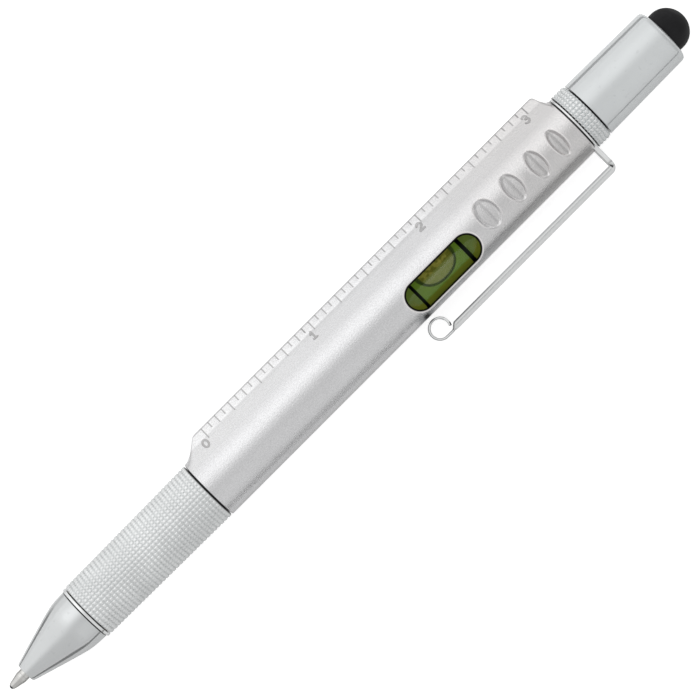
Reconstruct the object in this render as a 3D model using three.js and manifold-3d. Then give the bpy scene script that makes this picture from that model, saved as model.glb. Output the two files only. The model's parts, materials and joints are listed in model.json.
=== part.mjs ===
// Multi tool pen: twist ballpoint, inch rule, spirit level, pocket clip, stylus and a two-ended bit.
// Millimetres. X runs from the ball point to the stylus, Y towards the rule, Z up through the level.
// A station is a distance from the ball point along the pen's axis.
import * as THREE from 'three';
import { mergeVertices } from 'three/addons/utils/BufferGeometryUtils.js';
import Module from 'manifold-3d';

const wasm = await Module();
wasm.setup();

// Clearances
const seam = 0.1; // open line between two turned parts
const seat = 0.05; // between faces that bear on each other
const fit = 0.05; // all round, between parts that are pressed or glued together
const run = 0.1; // all round, between parts that turn, slide or screw
const overrun = 1; // how far a cut passes the surface it starts from

// Facets
const roundSides = 32;
const smallSides = 16;

// Barrel
const barrelRadius = 5.75;
const barrelWall = 1.15;
const flangeProud = 2.62;
const flangeEdgeHalf = 0.35;
const kneeProud = 0.9;
const kneeHalf = 1.3;
const frontRampLength = 4.6;
const rearRampLength = 2.1;
const frontRampShares = [[0.05, 0], [0.3, 0.2], [0.5, 0.41], [0.76, 0.76], [0.89, 0.92], [1, 1]];
const rearRampShares = [[0.14, 0], [0.67, 0.78], [0.82, 1], [1, 1]];

// Rule: sixteenths of an inch, with the longer marks at the eighths and quarters
const inch = 25.4;
const marksPerInch = 16;
const ruleInset = 1.84; // from the front ramp to the first mark
const ruleMargin = 1.7; // kept clear before the rear ramp
const markWidth = 0.22;
const markDepth = 0.12;
const quarterMark = 1.75;
const eighthMark = 1.37;
const shortMark = 1.0;

// Finger recesses, the rearmost first
const recessHeight = 5.8;
const recessDepth = 0.45;
const recessWidths = [2.44, 2.87, 3.19, 3.92];
const recessInset = 3.73; // from the barrel's end to the middle of the first
const recessPitches = [0, 5.06, 5.63, 6.12];

// Point and refill
const ballRadius = 0.5;
const ballProud = 0.36;
const rimWall = 0.06;
const ballPlay = 0.03;
const inkBore = 0.25;
const pointRadius = 1.085;
const pointTaper = 2.18;
const pointLength = 11.04;
const shankRadius = 0.72;
const shankLength = 3.6;
const refillRadius = 1.175;
const refillLength = 66.5; // with its point
const crimpRadius = 1.8;
const crimpLength = 0.8;
const crimpSetback = 2.75; // from the tube's front end
const tipReach = 3.65; // how far the point stands out of the nose

// Nose cone and its ring
const noseLength = 14.05;
const noseMouthRadius = 1.82;
const noseShoulderRadius = 4.9;
const noseRadius = 5.15;
const noseShoulderSetback = 3.46;
const springChamberLength = 7.6;
const springChamberPlay = 0.33; // all round the spring
const springShelf = 4.35; // from the mouth to the chamber
const spigotLength = 5.2;
const noseRingLength = 0.56;
const noseRingRadius = 5.45;
const noseOutlineShares = [[0, 0], [0.5, 0.49], [0.95, 0.97], [1, 1]];

// Return spring
const springWire = 0.35;
const springCoilRadius = 1.6;
const springTurns = 7;
const springStepsPerTurn = 8;
const springWireSides = 5;

// Grip sleeve and its liner
const gripLength = 28.44;
const gripFrontRadius = 5.465;
const gripWall = 0.75;
const linerThreadWall = 0.7;
const linerThreadLength = 5.8;
const linerTailWall = 0.6;

// Twist mechanism
const twistTravel = 4.8; // how far the refill draws back in half a turn
const twistAngle = Math.PI;
const followerRadius = 2.5;
const followerSocket = 3.6;
const ventRadius = 0.4;
const pinRadius = 0.6;
const pinRoot = 1.0;
const pinBehindRefill = 5.5;
const followerTail = 6;
const slotPlay = 0.2;
const slotOvershoot = 0.28; // radians past the pin at each end of the cam slot
const camLead = 10;
const camTail = 9.2;
const bushWall = 0.5;
const snapRoom = 2;
const snapLength = 0.6;
const snapDepth = 0.45;
const snapWall = 0.9;
const linerStop = 1; // from the liner's end to the cam's end
const plugGap = 0.3;
const plugLength = 2.5;

// Spirit level
const levelSetback = 2; // from the mechanism's plug
const cradleLength = 20.1;
const vialInset = 0.45;
const vialCentreShares = [-0.398, 0.13]; // Y and Z, of the barrel's bore radius
const vialWall = 0.5;
const vialEndWall = 0.8;
const vialPlugLength = 1.3;
const windowLength = 16.4;
const windowMargin = 0.04;
const gaugeSpacing = 11.06;
const gaugeWidth = 0.55;
const gaugeDepth = 0.22;
const bubbleLength = 7.9;
const bubbleDepthShare = 0.62; // of the vial's inside width
const bubbleHeightShare = 0.85;

// Bit and bit holder
const bitAcross = 4;
const bitHexLength = 10;
const bitBladeLength = 8.5;
const bitShaftRadius = 1.5;
const bitChamfer = 0.4;
const bladeHalf = 0.3;
const bladeTaper = 3.6;
const crossCore = 0.4;
const crossLength = 2.6;
const crossTipRadius = 0.7;
const insertWall = 0.63;
const insertEntry = 0.3;
const spigotWall = 0.85;
const spigotReach = 4.1;
const holderSpare = 8.6; // empty bore between the level and the bit holder
const holderShank = 14.1;
const holderEndWall = 1.8;
const magnetLength = 1.5;
const collarLength = 3;
const collarChamfer = 0.15;

// Pocket clip
const clipSheet = 0.45;
const clipRingSheet = 0.4;
const clipRingInset = 0.15;
const clipTab = 0.87;
const clipWidth = 4.5;
const clipGap = 3.35;
const clipRise = 0.6;
const clipCorner = 0.07; // inside radius between the tab and the strip
const clipLength = 39.5; // from the barrel's end to the middle of the rolled end
const clipRoll = 0.85; // turns of the rolled end
const clipRollSteps = 14;
const clipNeck = 0.2; // from the rolled end's front to the end of the arched strip
const clipNeckTaper = 0.6;
const clipSectionSteps = 5; // odd, so that the middle of the strip is flat
const tabRoot = 0.4;

// Cap, seal ring and stylus
const capGap = 0.25;
const capWall = 0.95;
const capTaper = 0.2;
const capThreadWall = 0.55;
const capThreadInset = 0.95;
const capThreadLength = 4.2;
const capCrownShares = [[0, 1], [0.45, 0.95], [0.8, 0.55], [1, 0]];
const capCrownLength = 0.9;
const capRim = 0.2;
const sealRadius = 0.3;
const sealGroove = 0.75;
const bitClear = 0.4;
const stemBarb = 0.7;
const stemBarbProud = 0.35;
const stemRadius = 2.5;
const stemLength = 1.4;
const shelfLength = 1.4;
const stylusSocket = 2.1;
const stylusRadius = 3.9;
const stylusReach = 4.36;
const stylusSide = 0.7; // straight side of the dome outside the cap
const stylusWall = 0.6;
const domeSteps = 6;

// Stations, front to back
const noseStart = tipReach;
const noseEnd = noseStart + noseLength;
const noseRingStart = noseEnd + seam;
const noseRingEnd = noseRingStart + noseRingLength;
const gripStart = noseRingEnd + seam;
const gripEnd = gripStart + gripLength;
const barrelStart = gripEnd + seam;
const pointEnd = ballProud + pointLength;
const tubeStart = pointEnd + seat;
const crimpStart = tubeStart + crimpSetback;
const pinStation = refillLength + pinBehindRefill;
const camStart = pinStation - camLead;
const camEnd = pinStation + twistTravel + camTail;
const bushStart = barrelStart + seat;
const bushEnd = camStart - snapRoom;
const snapStart = bushEnd + seat;
const plugStart = camEnd + plugGap;
const cradleStart = plugStart + plugLength + levelSetback;
const cradleEnd = cradleStart + cradleLength;
const vialStart = cradleStart + vialInset;
const vialEnd = cradleEnd - vialInset;
const vialMiddle = (vialStart + vialEnd) / 2;
const fluidStart = vialStart + vialEndWall + seat;
const fluidEnd = vialEnd - vialPlugLength - seat;
const fluidMiddle = (fluidStart + fluidEnd) / 2;
const holderStart = cradleEnd + holderSpare;
const barrelEnd = holderStart + holderShank;
const clipRingStart = barrelEnd + seat;
const clipRingEnd = clipRingStart + clipRingSheet;
const collarStart = clipRingEnd + seat;
const collarEnd = collarStart + collarLength;
const spigotEnd = collarEnd + spigotReach;
const magnetStart = holderStart + holderEndWall + seat;
const insertStart = magnetStart + magnetLength + seat;
const insertEnd = spigotEnd - seam;
const bitStart = insertStart + insertEntry;
const bitHexStart = bitStart + bitBladeLength;
const bitHexEnd = bitHexStart + bitHexLength;
const bitEnd = bitHexEnd + bitBladeLength;
const capStart = collarEnd + capGap;
const stemStart = bitEnd + bitClear;
const shelfStart = stemStart + stemLength;
const shelfEnd = shelfStart + shelfLength;
const capEnd = shelfEnd + stylusSocket;
const stylusEnd = capEnd + stylusReach;

// Radii that follow from one another
const boreRadius = barrelRadius - barrelWall;
const insertedRadius = boreRadius - fit;
const gripRearRadius = barrelRadius;
const gripBore = gripFrontRadius - gripWall;
const linerRadius = gripBore - fit;
const spigotBore = linerRadius - linerThreadWall;
const spigotRadius = spigotBore - run;
const guideBore = followerRadius + run;
const tailRadius = guideBore + linerTailWall;
const camBore = tailRadius + run;
const bushBore = insertedRadius - bushWall;
const journalRadius = bushBore - run;
const chamberRadius = springCoilRadius + springWire / 2 + springChamberPlay;
const noseBore = pointRadius + run;
const refillBore = shankRadius + fit;
const vialY = boreRadius * vialCentreShares[0];
const vialZ = boreRadius * vialCentreShares[1];
const vialRadius = insertedRadius - Math.hypot(vialY, vialZ);
const vialBore = vialRadius - vialWall;
const fluidRadius = vialBore - fit;
const hexCornerRatio = 1 / Math.cos(Math.PI / 6);
const bitCorner = (bitAcross / 2) * hexCornerRatio;
const socketCorner = bitCorner + fit * hexCornerRatio;
const hexInsertRadius = socketCorner + insertWall;
const holderBore = hexInsertRadius + fit;
const capThreadRadius = holderBore + spigotWall;
const capThreadBore = capThreadRadius + run;
const capInsertRadius = capThreadBore + capThreadWall;
const capBore = capInsertRadius + fit;
const capRadius = capBore + capWall;
const capRearRadius = capRadius - capTaper;
const stylusBore = stylusRadius + fit;
const capMouth = stylusBore + capRim;
const flangeReach = barrelRadius + flangeProud;
const kneeReach = barrelRadius + kneeProud;
const clipInner = barrelRadius + clipGap;
const clipOuter = clipInner + clipRise + clipSheet;
const penLength = stylusEnd;

// Any closed geometry, as a solid that can be joined and cut
function solid(geometry) {
  const bare = new THREE.BufferGeometry();
  bare.setAttribute('position', geometry.getAttribute('position'));
  bare.setIndex(geometry.getIndex());
  const welded = mergeVertices(bare);
  const place = welded.getAttribute('position').array;
  const index = welded.getIndex().array;
  const corner = (n) => new THREE.Vector3().fromArray(place, 3 * index[n]);
  const kept = [];
  let volume = 0;
  for (let n = 0; n < index.length; n += 3) {
    const [a, b, c] = [index[n], index[n + 1], index[n + 2]];
    if (a === b || b === c || c === a) continue;
    kept.push(a, b, c);
    volume += corner(n).dot(corner(n + 1).cross(corner(n + 2)));
  }
  if (volume < 0) kept.reverse();
  const mesh = { numProp: 3, vertProperties: new Float32Array(place), triVerts: new Uint32Array(kept) };
  return new wasm.Manifold(new wasm.Mesh(mesh));
}

// A profile of [radius, station] points turned about the pen's axis; one that is off the axis is closed
function turned(profile, sides = roundSides) {
  const points = profile.map(([radius, station]) => new THREE.Vector2(radius, station));
  const onAxis = profile[0][0] === 0 && profile.at(-1)[0] === 0;
  if (!onAxis) points.push(points[0].clone());
  const geometry = new THREE.LatheGeometry(points, sides, Math.PI / sides, 2 * Math.PI);
  const alongX = new THREE.Matrix4().set(0, 1, 0, 0, 0, 0, 1, 0, 1, 0, 0, 0, 0, 0, 0, 1);
  return solid(geometry.applyMatrix4(alongX));
}

// A plain tube, or a rod where the bore is zero
function tube(radius, bore, start, end, sides = roundSides) {
  const outside = [[bore, start], [radius, start], [radius, end], [bore, end]];
  return turned(outside, sides);
}

function outline(points) {
  return new THREE.Shape(points.map(([a, b]) => new THREE.Vector2(a, b)));
}

// An outline in Y and Z, carried along X
function alongPen(shape, start, end) {
  const geometry = new THREE.ExtrudeGeometry(shape, { depth: end - start, bevelEnabled: false });
  const toX = new THREE.Matrix4().set(0, 0, 1, 0, 1, 0, 0, 0, 0, 1, 0, 0, 0, 0, 0, 1);
  return solid(geometry.applyMatrix4(toX).translate(start, 0, 0));
}

// An outline in X and Y, carried up Z
function upright(shape, low, high) {
  const settings = { depth: high - low, bevelEnabled: false, curveSegments: smallSides / 2 };
  return solid(new THREE.ExtrudeGeometry(shape, settings).translate(0, 0, low));
}

// An outline in X and Z, carried across Y on both sides of the axis
function across(shape, half) {
  const geometry = new THREE.ExtrudeGeometry(shape, { depth: 2 * half, bevelEnabled: false });
  return solid(geometry.rotateX(Math.PI / 2).translate(0, half, 0));
}

function block(low, high) {
  const size = high.map((value, n) => value - low[n]);
  const middle = high.map((value, n) => (value + low[n]) / 2);
  return solid(new THREE.BoxGeometry(...size).translate(...middle));
}

// A closed skin through rings of equally many points, with both ends covered
function lofted(rings) {
  const count = rings[0].length;
  const place = rings.flat().flatMap((point) => point.toArray());
  const index = [];
  for (let ring = 0; ring + 1 < rings.length; ring += 1) {
    for (let n = 0; n < count; n += 1) {
      const [a, b] = [ring * count + n, ring * count + ((n + 1) % count)];
      index.push(a, b, b + count, a, b + count, a + count);
    }
  }
  const last = (rings.length - 1) * count;
  for (let low = 0, high = count - 1; high - low > 1; low += 1, high -= 1) {
    index.push(low, high, low + 1, last + low, last + low + 1, last + high);
    if (high - low > 2) {
      index.push(low + 1, high, high - 1, last + low + 1, last + high - 1, last + high);
    }
  }
  const geometry = new THREE.BufferGeometry();
  geometry.setAttribute('position', new THREE.Float32BufferAttribute(place, 3));
  geometry.setIndex(index);
  return solid(geometry);
}

const pen = new THREE.Group();

function add(name, shape, color, metalness, roughness) {
  const mesh = shape.getMesh();
  const geometry = new THREE.BufferGeometry();
  geometry.setAttribute('position', new THREE.Float32BufferAttribute(mesh.vertProperties, 3));
  geometry.setIndex(new THREE.Uint32BufferAttribute(mesh.triVerts, 1));
  geometry.computeVertexNormals();
  const material = new THREE.MeshStandardMaterial({ color, metalness, roughness });
  const piece = new THREE.Mesh(geometry, material);
  piece.name = name;
  pen.add(piece);
}

// Refill: ball, brass point, ink tube with its crimped spring collar
function refillPieces() {
  const ball = new THREE.SphereGeometry(ballRadius, smallSides, smallSides * 0.75);
  add('tip_ball', solid(ball.translate(ballRadius, 0, 0)), 0x55585c, 1, 0.25);

  const socket = ballRadius + fit;
  const rimBore = Math.sqrt(ballRadius ** 2 - (ballRadius - ballProud) ** 2) + ballPlay;
  const seatStart = 2 * ballRadius;
  const point = [
    [rimBore, ballProud],
    [rimBore + rimWall, ballProud],
    [pointRadius, ballProud + pointTaper],
    [pointRadius, pointEnd],
    [shankRadius, pointEnd],
    [shankRadius, pointEnd + shankLength],
    [inkBore, pointEnd + shankLength],
    [inkBore, seatStart + socket - inkBore],
    [socket, seatStart],
    [socket, ballRadius],
  ];
  add('refill_point', turned(point, smallSides), 0xb9b4a6, 1, 0.3);

  const crimpEnd = crimpStart + crimpLength;
  const inkTube = [
    [refillBore, tubeStart],
    [refillRadius, tubeStart],
    [refillRadius, crimpStart],
    [crimpRadius, crimpStart],
    [crimpRadius, crimpEnd],
    [refillRadius, crimpEnd],
    [refillRadius, refillLength],
    [refillBore, refillLength],
  ];
  add('refill_tube', turned(inkTube, smallSides), 0xc9ccd0, 1, 0.3);
}

// Nose cone with its mouth, spring chamber and screwed spigot, and the ring behind it
function nosePieces() {
  const shoulder = noseEnd - noseShoulderSetback;
  const shelf = noseStart + springShelf;
  const spigotTip = gripStart + spigotLength;
  const swell = noseOutlineShares.map(([along, out]) => [
    noseMouthRadius + (noseShoulderRadius - noseMouthRadius) * out,
    noseStart + (shoulder - noseStart) * along,
  ]);
  const cone = [
    [noseBore, noseStart],
    ...swell,
    [noseRadius, noseEnd],
    [spigotRadius, noseEnd],
    [spigotRadius, spigotTip],
    [guideBore, spigotTip],
    [guideBore, shelf + springChamberLength],
    [chamberRadius, shelf + springChamberLength],
    [chamberRadius, shelf],
    [noseBore, shelf],
  ];
  add('nose_cone', turned(cone), 0xc4c8ca, 1, 0.2);
  add('nose_ring', tube(noseRingRadius, spigotBore, noseRingStart, noseRingEnd), 0xd2d5d7, 1, 0.18);
}

// Return spring: one wire from the nose's shelf to the refill's collar
function springPiece() {
  const wire = springWire / 2;
  const low = noseStart + springShelf + seat + wire;
  const high = crimpStart - seat - wire;
  const steps = springTurns * springStepsPerTurn;
  const middle = (step) => {
    const turn = (2 * Math.PI * step) / springStepsPerTurn;
    const station = low + ((high - low) * step) / steps;
    return new THREE.Vector3(station, springCoilRadius * Math.cos(turn), springCoilRadius * Math.sin(turn));
  };
  const rings = [];
  for (let step = 0; step <= steps; step += 1) {
    const here = middle(step);
    const out = new THREE.Vector3(0, here.y, here.z).normalize();
    const way = middle(step + 0.5).sub(middle(step - 0.5)).normalize();
    const side = new THREE.Vector3().crossVectors(way, out);
    const ring = [];
    for (let n = 0; n < springWireSides; n += 1) {
      const angle = (2 * Math.PI * n) / springWireSides;
      const reach = out.clone().multiplyScalar(Math.cos(angle)).addScaledVector(side, Math.sin(angle));
      ring.push(here.clone().addScaledVector(reach, wire));
    }
    rings.push(ring);
  }
  add('return_spring', lofted(rings), 0xb8bcc0, 1, 0.3);
  let gap = Infinity;
  for (let a = 0; a <= steps; a += 1) {
    for (let b = a + springStepsPerTurn - 2; b <= steps; b += 1) {
      gap = Math.min(gap, middle(a).distanceTo(middle(b)) - springWire);
    }
  }
  console.log(`return_spring: least gap between its coils ${gap.toFixed(2)} mm`);
}

// Grip sleeve on a brass liner that runs back through the barrel's bush to the cam
function gripPieces() {
  const sleeve = [
    [gripBore, gripStart],
    [gripFrontRadius, gripStart],
    [gripRearRadius, gripEnd],
    [gripBore, gripEnd],
  ];
  add('grip_sleeve', turned(sleeve), 0xc6c9cb, 1, 0.35);

  const snapEnd = snapStart + snapLength;
  const tailStart = snapEnd + snapLength;
  const grooveFloor = journalRadius - snapDepth;
  const linerEnd = camEnd - linerStop;
  const liner = turned([
    [spigotBore, gripStart],
    [linerRadius, gripStart],
    [linerRadius, gripEnd],
    [journalRadius, gripEnd],
    [journalRadius, snapStart - fit],
    [grooveFloor, snapStart - fit],
    [grooveFloor, snapEnd + fit],
    [journalRadius, snapEnd + fit],
    [journalRadius, tailStart],
    [tailRadius, tailStart],
    [tailRadius, linerEnd],
    [guideBore, linerEnd],
    [guideBore, gripStart + linerThreadLength],
    [spigotBore, gripStart + linerThreadLength],
  ]);
  const slotHalf = pinRadius + slotPlay / 2;
  const keyway = block(
    [pinStation - slotHalf, 0, -slotHalf],
    [pinStation + twistTravel + slotHalf, tailRadius + overrun, slotHalf],
  );
  add('grip_liner', liner.subtract(keyway), 0xc8a75c, 1, 0.35);

  const ringBore = grooveFloor + fit;
  add('liner_snap_ring', tube(ringBore + snapWall, ringBore, snapStart, snapEnd), 0x8d9196, 1, 0.4);
}

// Follower that pushes the refill, and the pin that runs in the cam
function followerPieces() {
  const socketStart = refillLength - followerSocket;
  const follower = turned([
    [refillRadius + fit, socketStart],
    [followerRadius, socketStart],
    [followerRadius, pinStation + followerTail],
    [ventRadius, pinStation + followerTail],
    [ventRadius, refillLength + seat],
    [refillRadius + fit, refillLength + seat],
  ]);
  const hole = new THREE.CylinderGeometry(pinRadius + fit, pinRadius + fit, followerRadius, smallSides);
  hole.translate(pinStation, pinRoot - fit + followerRadius / 2, 0);
  add('follower', follower.subtract(solid(hole)), 0xe6e6e0, 0, 0.5);

  const pinTop = insertedRadius - run;
  const pin = new THREE.CylinderGeometry(pinRadius, pinRadius, pinTop - pinRoot, smallSides);
  pin.translate(pinStation, (pinTop + pinRoot) / 2, 0);
  add('follower_pin', solid(pin), 0x9a9da1, 1, 0.3);
}

// Front bush, cam sleeve with its helical slot, and the plug behind it
function mechanismPieces() {
  add('barrel_bush', tube(insertedRadius, bushBore, bushStart, bushEnd), 0x2f3133, 0, 0.6);

  const halfWidth = (pinRadius + slotPlay / 2) / Math.cos(Math.atan(twistTravel / (twistAngle * camBore)));
  const steps = roundSides;
  const sweep = twistAngle + 2 * slotOvershoot;
  const rings = [];
  for (let step = 0; step <= steps; step += 1) {
    const angle = (sweep * step) / steps - slotOvershoot;
    const station = pinStation + (twistTravel * angle) / twistAngle;
    const corner = (side, radius) =>
      new THREE.Vector3(station + side * halfWidth, radius * Math.cos(angle), radius * Math.sin(angle));
    const [inside, outside] = [camBore - overrun / 2, insertedRadius + overrun / 2];
    rings.push([corner(-1, inside), corner(1, inside), corner(1, outside), corner(-1, outside)]);
  }
  const sleeve = tube(insertedRadius, camBore, camStart, camEnd);
  add('cam_sleeve', sleeve.subtract(lofted(rings)), 0xdcdcd6, 0, 0.5);
  add('mechanism_plug', tube(insertedRadius, 0, plugStart, plugStart + plugLength), 0x2f3133, 0, 0.6);
}

// Spirit level: cradle, vial with two gauge rings, coloured fluid round the bubble, and a plug
function levelPieces() {
  const aside = (shape) => shape.translate(0, vialY, vialZ);
  const pocket = aside(tube(vialRadius + fit, 0, vialStart - seat, cradleEnd + overrun));
  const opening = block(
    [vialStart - seat, vialY - vialRadius - overrun, vialZ],
    [vialEnd + seat, vialY + vialRadius + fit, boreRadius + overrun],
  );
  const cradle = tube(insertedRadius, 0, cradleStart, cradleEnd).subtract(pocket).subtract(opening);
  add('vial_cradle', cradle, 0x3a4020, 0, 0.6);

  const gaugeBore = vialRadius - gaugeDepth;
  const bodyBore = vialBore;
  const gauges = [fluidMiddle - gaugeSpacing / 2, fluidMiddle + gaugeSpacing / 2];
  let vial = turned([
    [0, vialStart],
    [vialRadius, vialStart],
    [vialRadius, vialEnd],
    [bodyBore, vialEnd],
    [bodyBore, vialStart + vialEndWall],
    [0, vialStart + vialEndWall],
  ]);
  for (const [n, station] of gauges.entries()) {
    const [front, back] = [station - gaugeWidth / 2, station + gaugeWidth / 2];
    const groove = tube(vialRadius + overrun, gaugeBore - fit, front - fit, back + fit);
    vial = vial.subtract(groove);
    const name = n === 0 ? 'gauge_ring_front' : 'gauge_ring_rear';
    add(name, aside(tube(vialRadius, gaugeBore, front, back)), 0x111211, 0, 0.5);
  }
  add('vial_tube', aside(vial), 0xcfe0a0, 0, 0.05);

  const depth = 2 * fluidRadius * bubbleDepthShare;
  const bubble = new THREE.SphereGeometry(1, roundSides, smallSides);
  bubble.scale(bubbleLength / 2, depth, fluidRadius * bubbleHeightShare);
  bubble.translate(fluidMiddle, fluidRadius, 0);
  const fluid = tube(fluidRadius, 0, fluidStart, fluidEnd).subtract(solid(bubble));
  add('vial_fluid', aside(fluid), 0x5f7a1c, 0, 0.1);
  add('vial_plug', aside(tube(fluidRadius, 0, vialEnd - vialPlugLength, vialEnd)), 0x6f7440, 0, 0.4);
}

// The barrel's section: round, with two flats that run out to a thin bevelled flange
function barrelSection() {
  const knee = new THREE.Vector2(kneeReach, kneeHalf);
  const tangent = knee.angle() + Math.acos(barrelRadius / knee.length());
  const points = [[barrelRadius * Math.cos(tangent), barrelRadius * Math.sin(tangent)]];
  for (let n = 0; n < roundSides; n += 1) {
    const angle = (2 * Math.PI * (n + 0.5)) / roundSides;
    if (angle > tangent && angle < 2 * Math.PI - tangent) {
      points.push([barrelRadius * Math.cos(angle), barrelRadius * Math.sin(angle)]);
    }
  }
  const below = [
    [barrelRadius * Math.cos(tangent), -barrelRadius * Math.sin(tangent)],
    [kneeReach, -kneeHalf],
    [flangeReach, -flangeEdgeHalf],
  ];
  return outline([...points, ...below, [flangeReach, flangeEdgeHalf], [kneeReach, kneeHalf]]);
}

// Seen from above: straight sides, with the flange ramping down to the round at each end
function barrelPlan() {
  const front = frontRampShares.map(([along, out]) => [
    barrelStart + frontRampLength * along,
    barrelRadius + flangeProud * out,
  ]);
  const rear = rearRampShares.map(([along, out]) => [
    barrelEnd - rearRampLength * along,
    barrelRadius + flangeProud * out,
  ]);
  const side = barrelRadius + overrun;
  const ends = [[barrelEnd, -side], [barrelEnd, barrelRadius]];
  return outline([[barrelStart, barrelRadius], [barrelStart, -side], ...ends, ...rear, ...front.reverse()]);
}

function markLength(n) {
  if (n % (marksPerInch / 4) === 0) return quarterMark;
  return n % (marksPerInch / 8) === 0 ? eighthMark : shortMark;
}

// The rule's marks, cut square to the bevel that runs from the knee to the flange's edge
function ruleMarks() {
  const pitch = inch / marksPerInch;
  const first = barrelStart + frontRampLength + ruleInset;
  const room = barrelEnd - rearRampLength - ruleMargin - first;
  const slope = (kneeHalf - flangeEdgeHalf) / (flangeReach - kneeReach);
  const marks = [];
  for (let n = 0; n * pitch <= room; n += 1) {
    const root = flangeReach - markLength(n);
    const [edge, floor] = [flangeReach + overrun, flangeEdgeHalf - markDepth];
    const shape = outline([
      [root, floor + slope * markLength(n)],
      [edge, floor - slope * overrun],
      [edge, kneeHalf + overrun],
      [root, kneeHalf + overrun],
    ]);
    const middle = first + n * pitch;
    marks.push(alongPen(shape, middle - markWidth / 2, middle + markWidth / 2));
  }
  return marks;
}

// Barrel: bored tube with the flange, level window, finger recesses, rule and a notch for the clip
function barrelPiece() {
  const high = barrelRadius + overrun;
  const body = alongPen(barrelSection(), barrelStart, barrelEnd);
  const plan = upright(barrelPlan(), -high, high);
  const bore = tube(boreRadius, 0, barrelStart - overrun, barrelEnd + overrun);
  let barrel = body.intersect(plan).subtract(bore);

  const windowHalf = vialRadius - windowMargin;
  const straight = windowLength / 2 - windowHalf;
  const shape = new THREE.Shape();
  shape.absarc(vialMiddle + straight, vialY, windowHalf, -Math.PI / 2, Math.PI / 2);
  shape.absarc(vialMiddle - straight, vialY, windowHalf, Math.PI / 2, (3 * Math.PI) / 2);
  barrel = barrel.subtract(upright(shape, vialZ, high));

  const floor = tube(barrelRadius - recessDepth, 0, barrelStart, barrelEnd);
  let station = barrelEnd - recessInset;
  for (const [n, width] of recessWidths.entries()) {
    station -= recessPitches[n];
    const oval = new THREE.Shape();
    oval.absellipse(station, 0, width / 2, recessHeight / 2, 0, 2 * Math.PI);
    barrel = barrel.subtract(upright(oval, 0, high).subtract(floor));
  }

  for (const mark of ruleMarks()) {
    barrel = barrel.subtract(mark);
  }

  const half = clipWidth / 2 + fit;
  const notchDepth = clipTab - clipRingSheet;
  barrel = barrel.subtract(block(
    [barrelEnd - notchDepth, -high, -half],
    [barrelEnd + overrun, -(boreRadius + tabRoot) + fit, half],
  ));
  add('barrel', barrel, 0xd4d5d8, 0.8, 0.38);
}

// Clip: a ring clamped behind the barrel with a stiff tab, and the sprung arm with its rolled end
function clipPieces() {
  const half = clipWidth / 2;
  const edgeLine = clipInner + clipSheet / 2;
  const cornerLine = clipTab / 2 + clipCorner;
  const cornerStart = edgeLine - cornerLine;
  const tabStart = clipRingEnd - clipTab;
  const ring = tube(barrelRadius - clipRingInset, boreRadius, clipRingStart, clipRingEnd);
  const tab = block([tabStart, seam - cornerStart, -half], [clipRingEnd, -(boreRadius + tabRoot), half]);
  add('clip_ring', ring.add(tab), 0xd0d3d5, 1, 0.15);

  const tabMiddle = (tabStart + clipRingEnd) / 2;
  const rings = [];
  // one section of the strip: a point of its edge line, which way is outward, its sheet and its arch
  const section = (x, y, turn, sheet, rise) => {
    const out = new THREE.Vector3(Math.cos(turn), -Math.sin(turn), 0);
    const side = (z, offset) =>
      new THREE.Vector3(x, y, z).addScaledVector(out, offset + rise * (1 - (z / half) ** 2));
    const outer = [];
    const inner = [];
    for (let n = 0; n <= clipSectionSteps; n += 1) {
      const z = -half + (clipWidth * n) / clipSectionSteps;
      outer.push(side(z, sheet / 2));
      inner.unshift(side(z, -sheet / 2));
    }
    rings.push([...outer, ...inner]);
  };
  const cornerSteps = 4;
  for (let n = 0; n <= cornerSteps; n += 1) {
    const share = n / cornerSteps;
    const turn = (share * Math.PI) / 2;
    const x = tabMiddle - cornerLine * (1 - Math.cos(turn));
    const y = -cornerStart - cornerLine * Math.sin(turn);
    section(x, y, turn, clipTab + (clipSheet - clipTab) * share, clipRise * share);
  }
  const rollMiddle = barrelEnd - clipLength;
  const rollRadius = (clipOuter - barrelRadius - seam) / 2;
  const rollY = -(barrelRadius + seam + rollRadius);
  const rollLine = rollRadius - clipSheet / 2;
  const archEnd = rollMiddle + rollRadius + clipNeck;
  section(archEnd, -edgeLine, Math.PI / 2, clipSheet, clipRise);
  section(archEnd - clipNeckTaper, rollY - rollLine, Math.PI / 2, clipSheet, 0);
  for (let n = 0; n <= clipRollSteps; n += 1) {
    const turn = (2 * Math.PI * clipRoll * n) / clipRollSteps + Math.PI / 2;
    section(rollMiddle + rollLine * Math.cos(turn), rollY - rollLine * Math.sin(turn), turn, clipSheet, 0);
  }
  add('clip_arm', lofted(rings), 0xd0d3d5, 1, 0.15);
}

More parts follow.
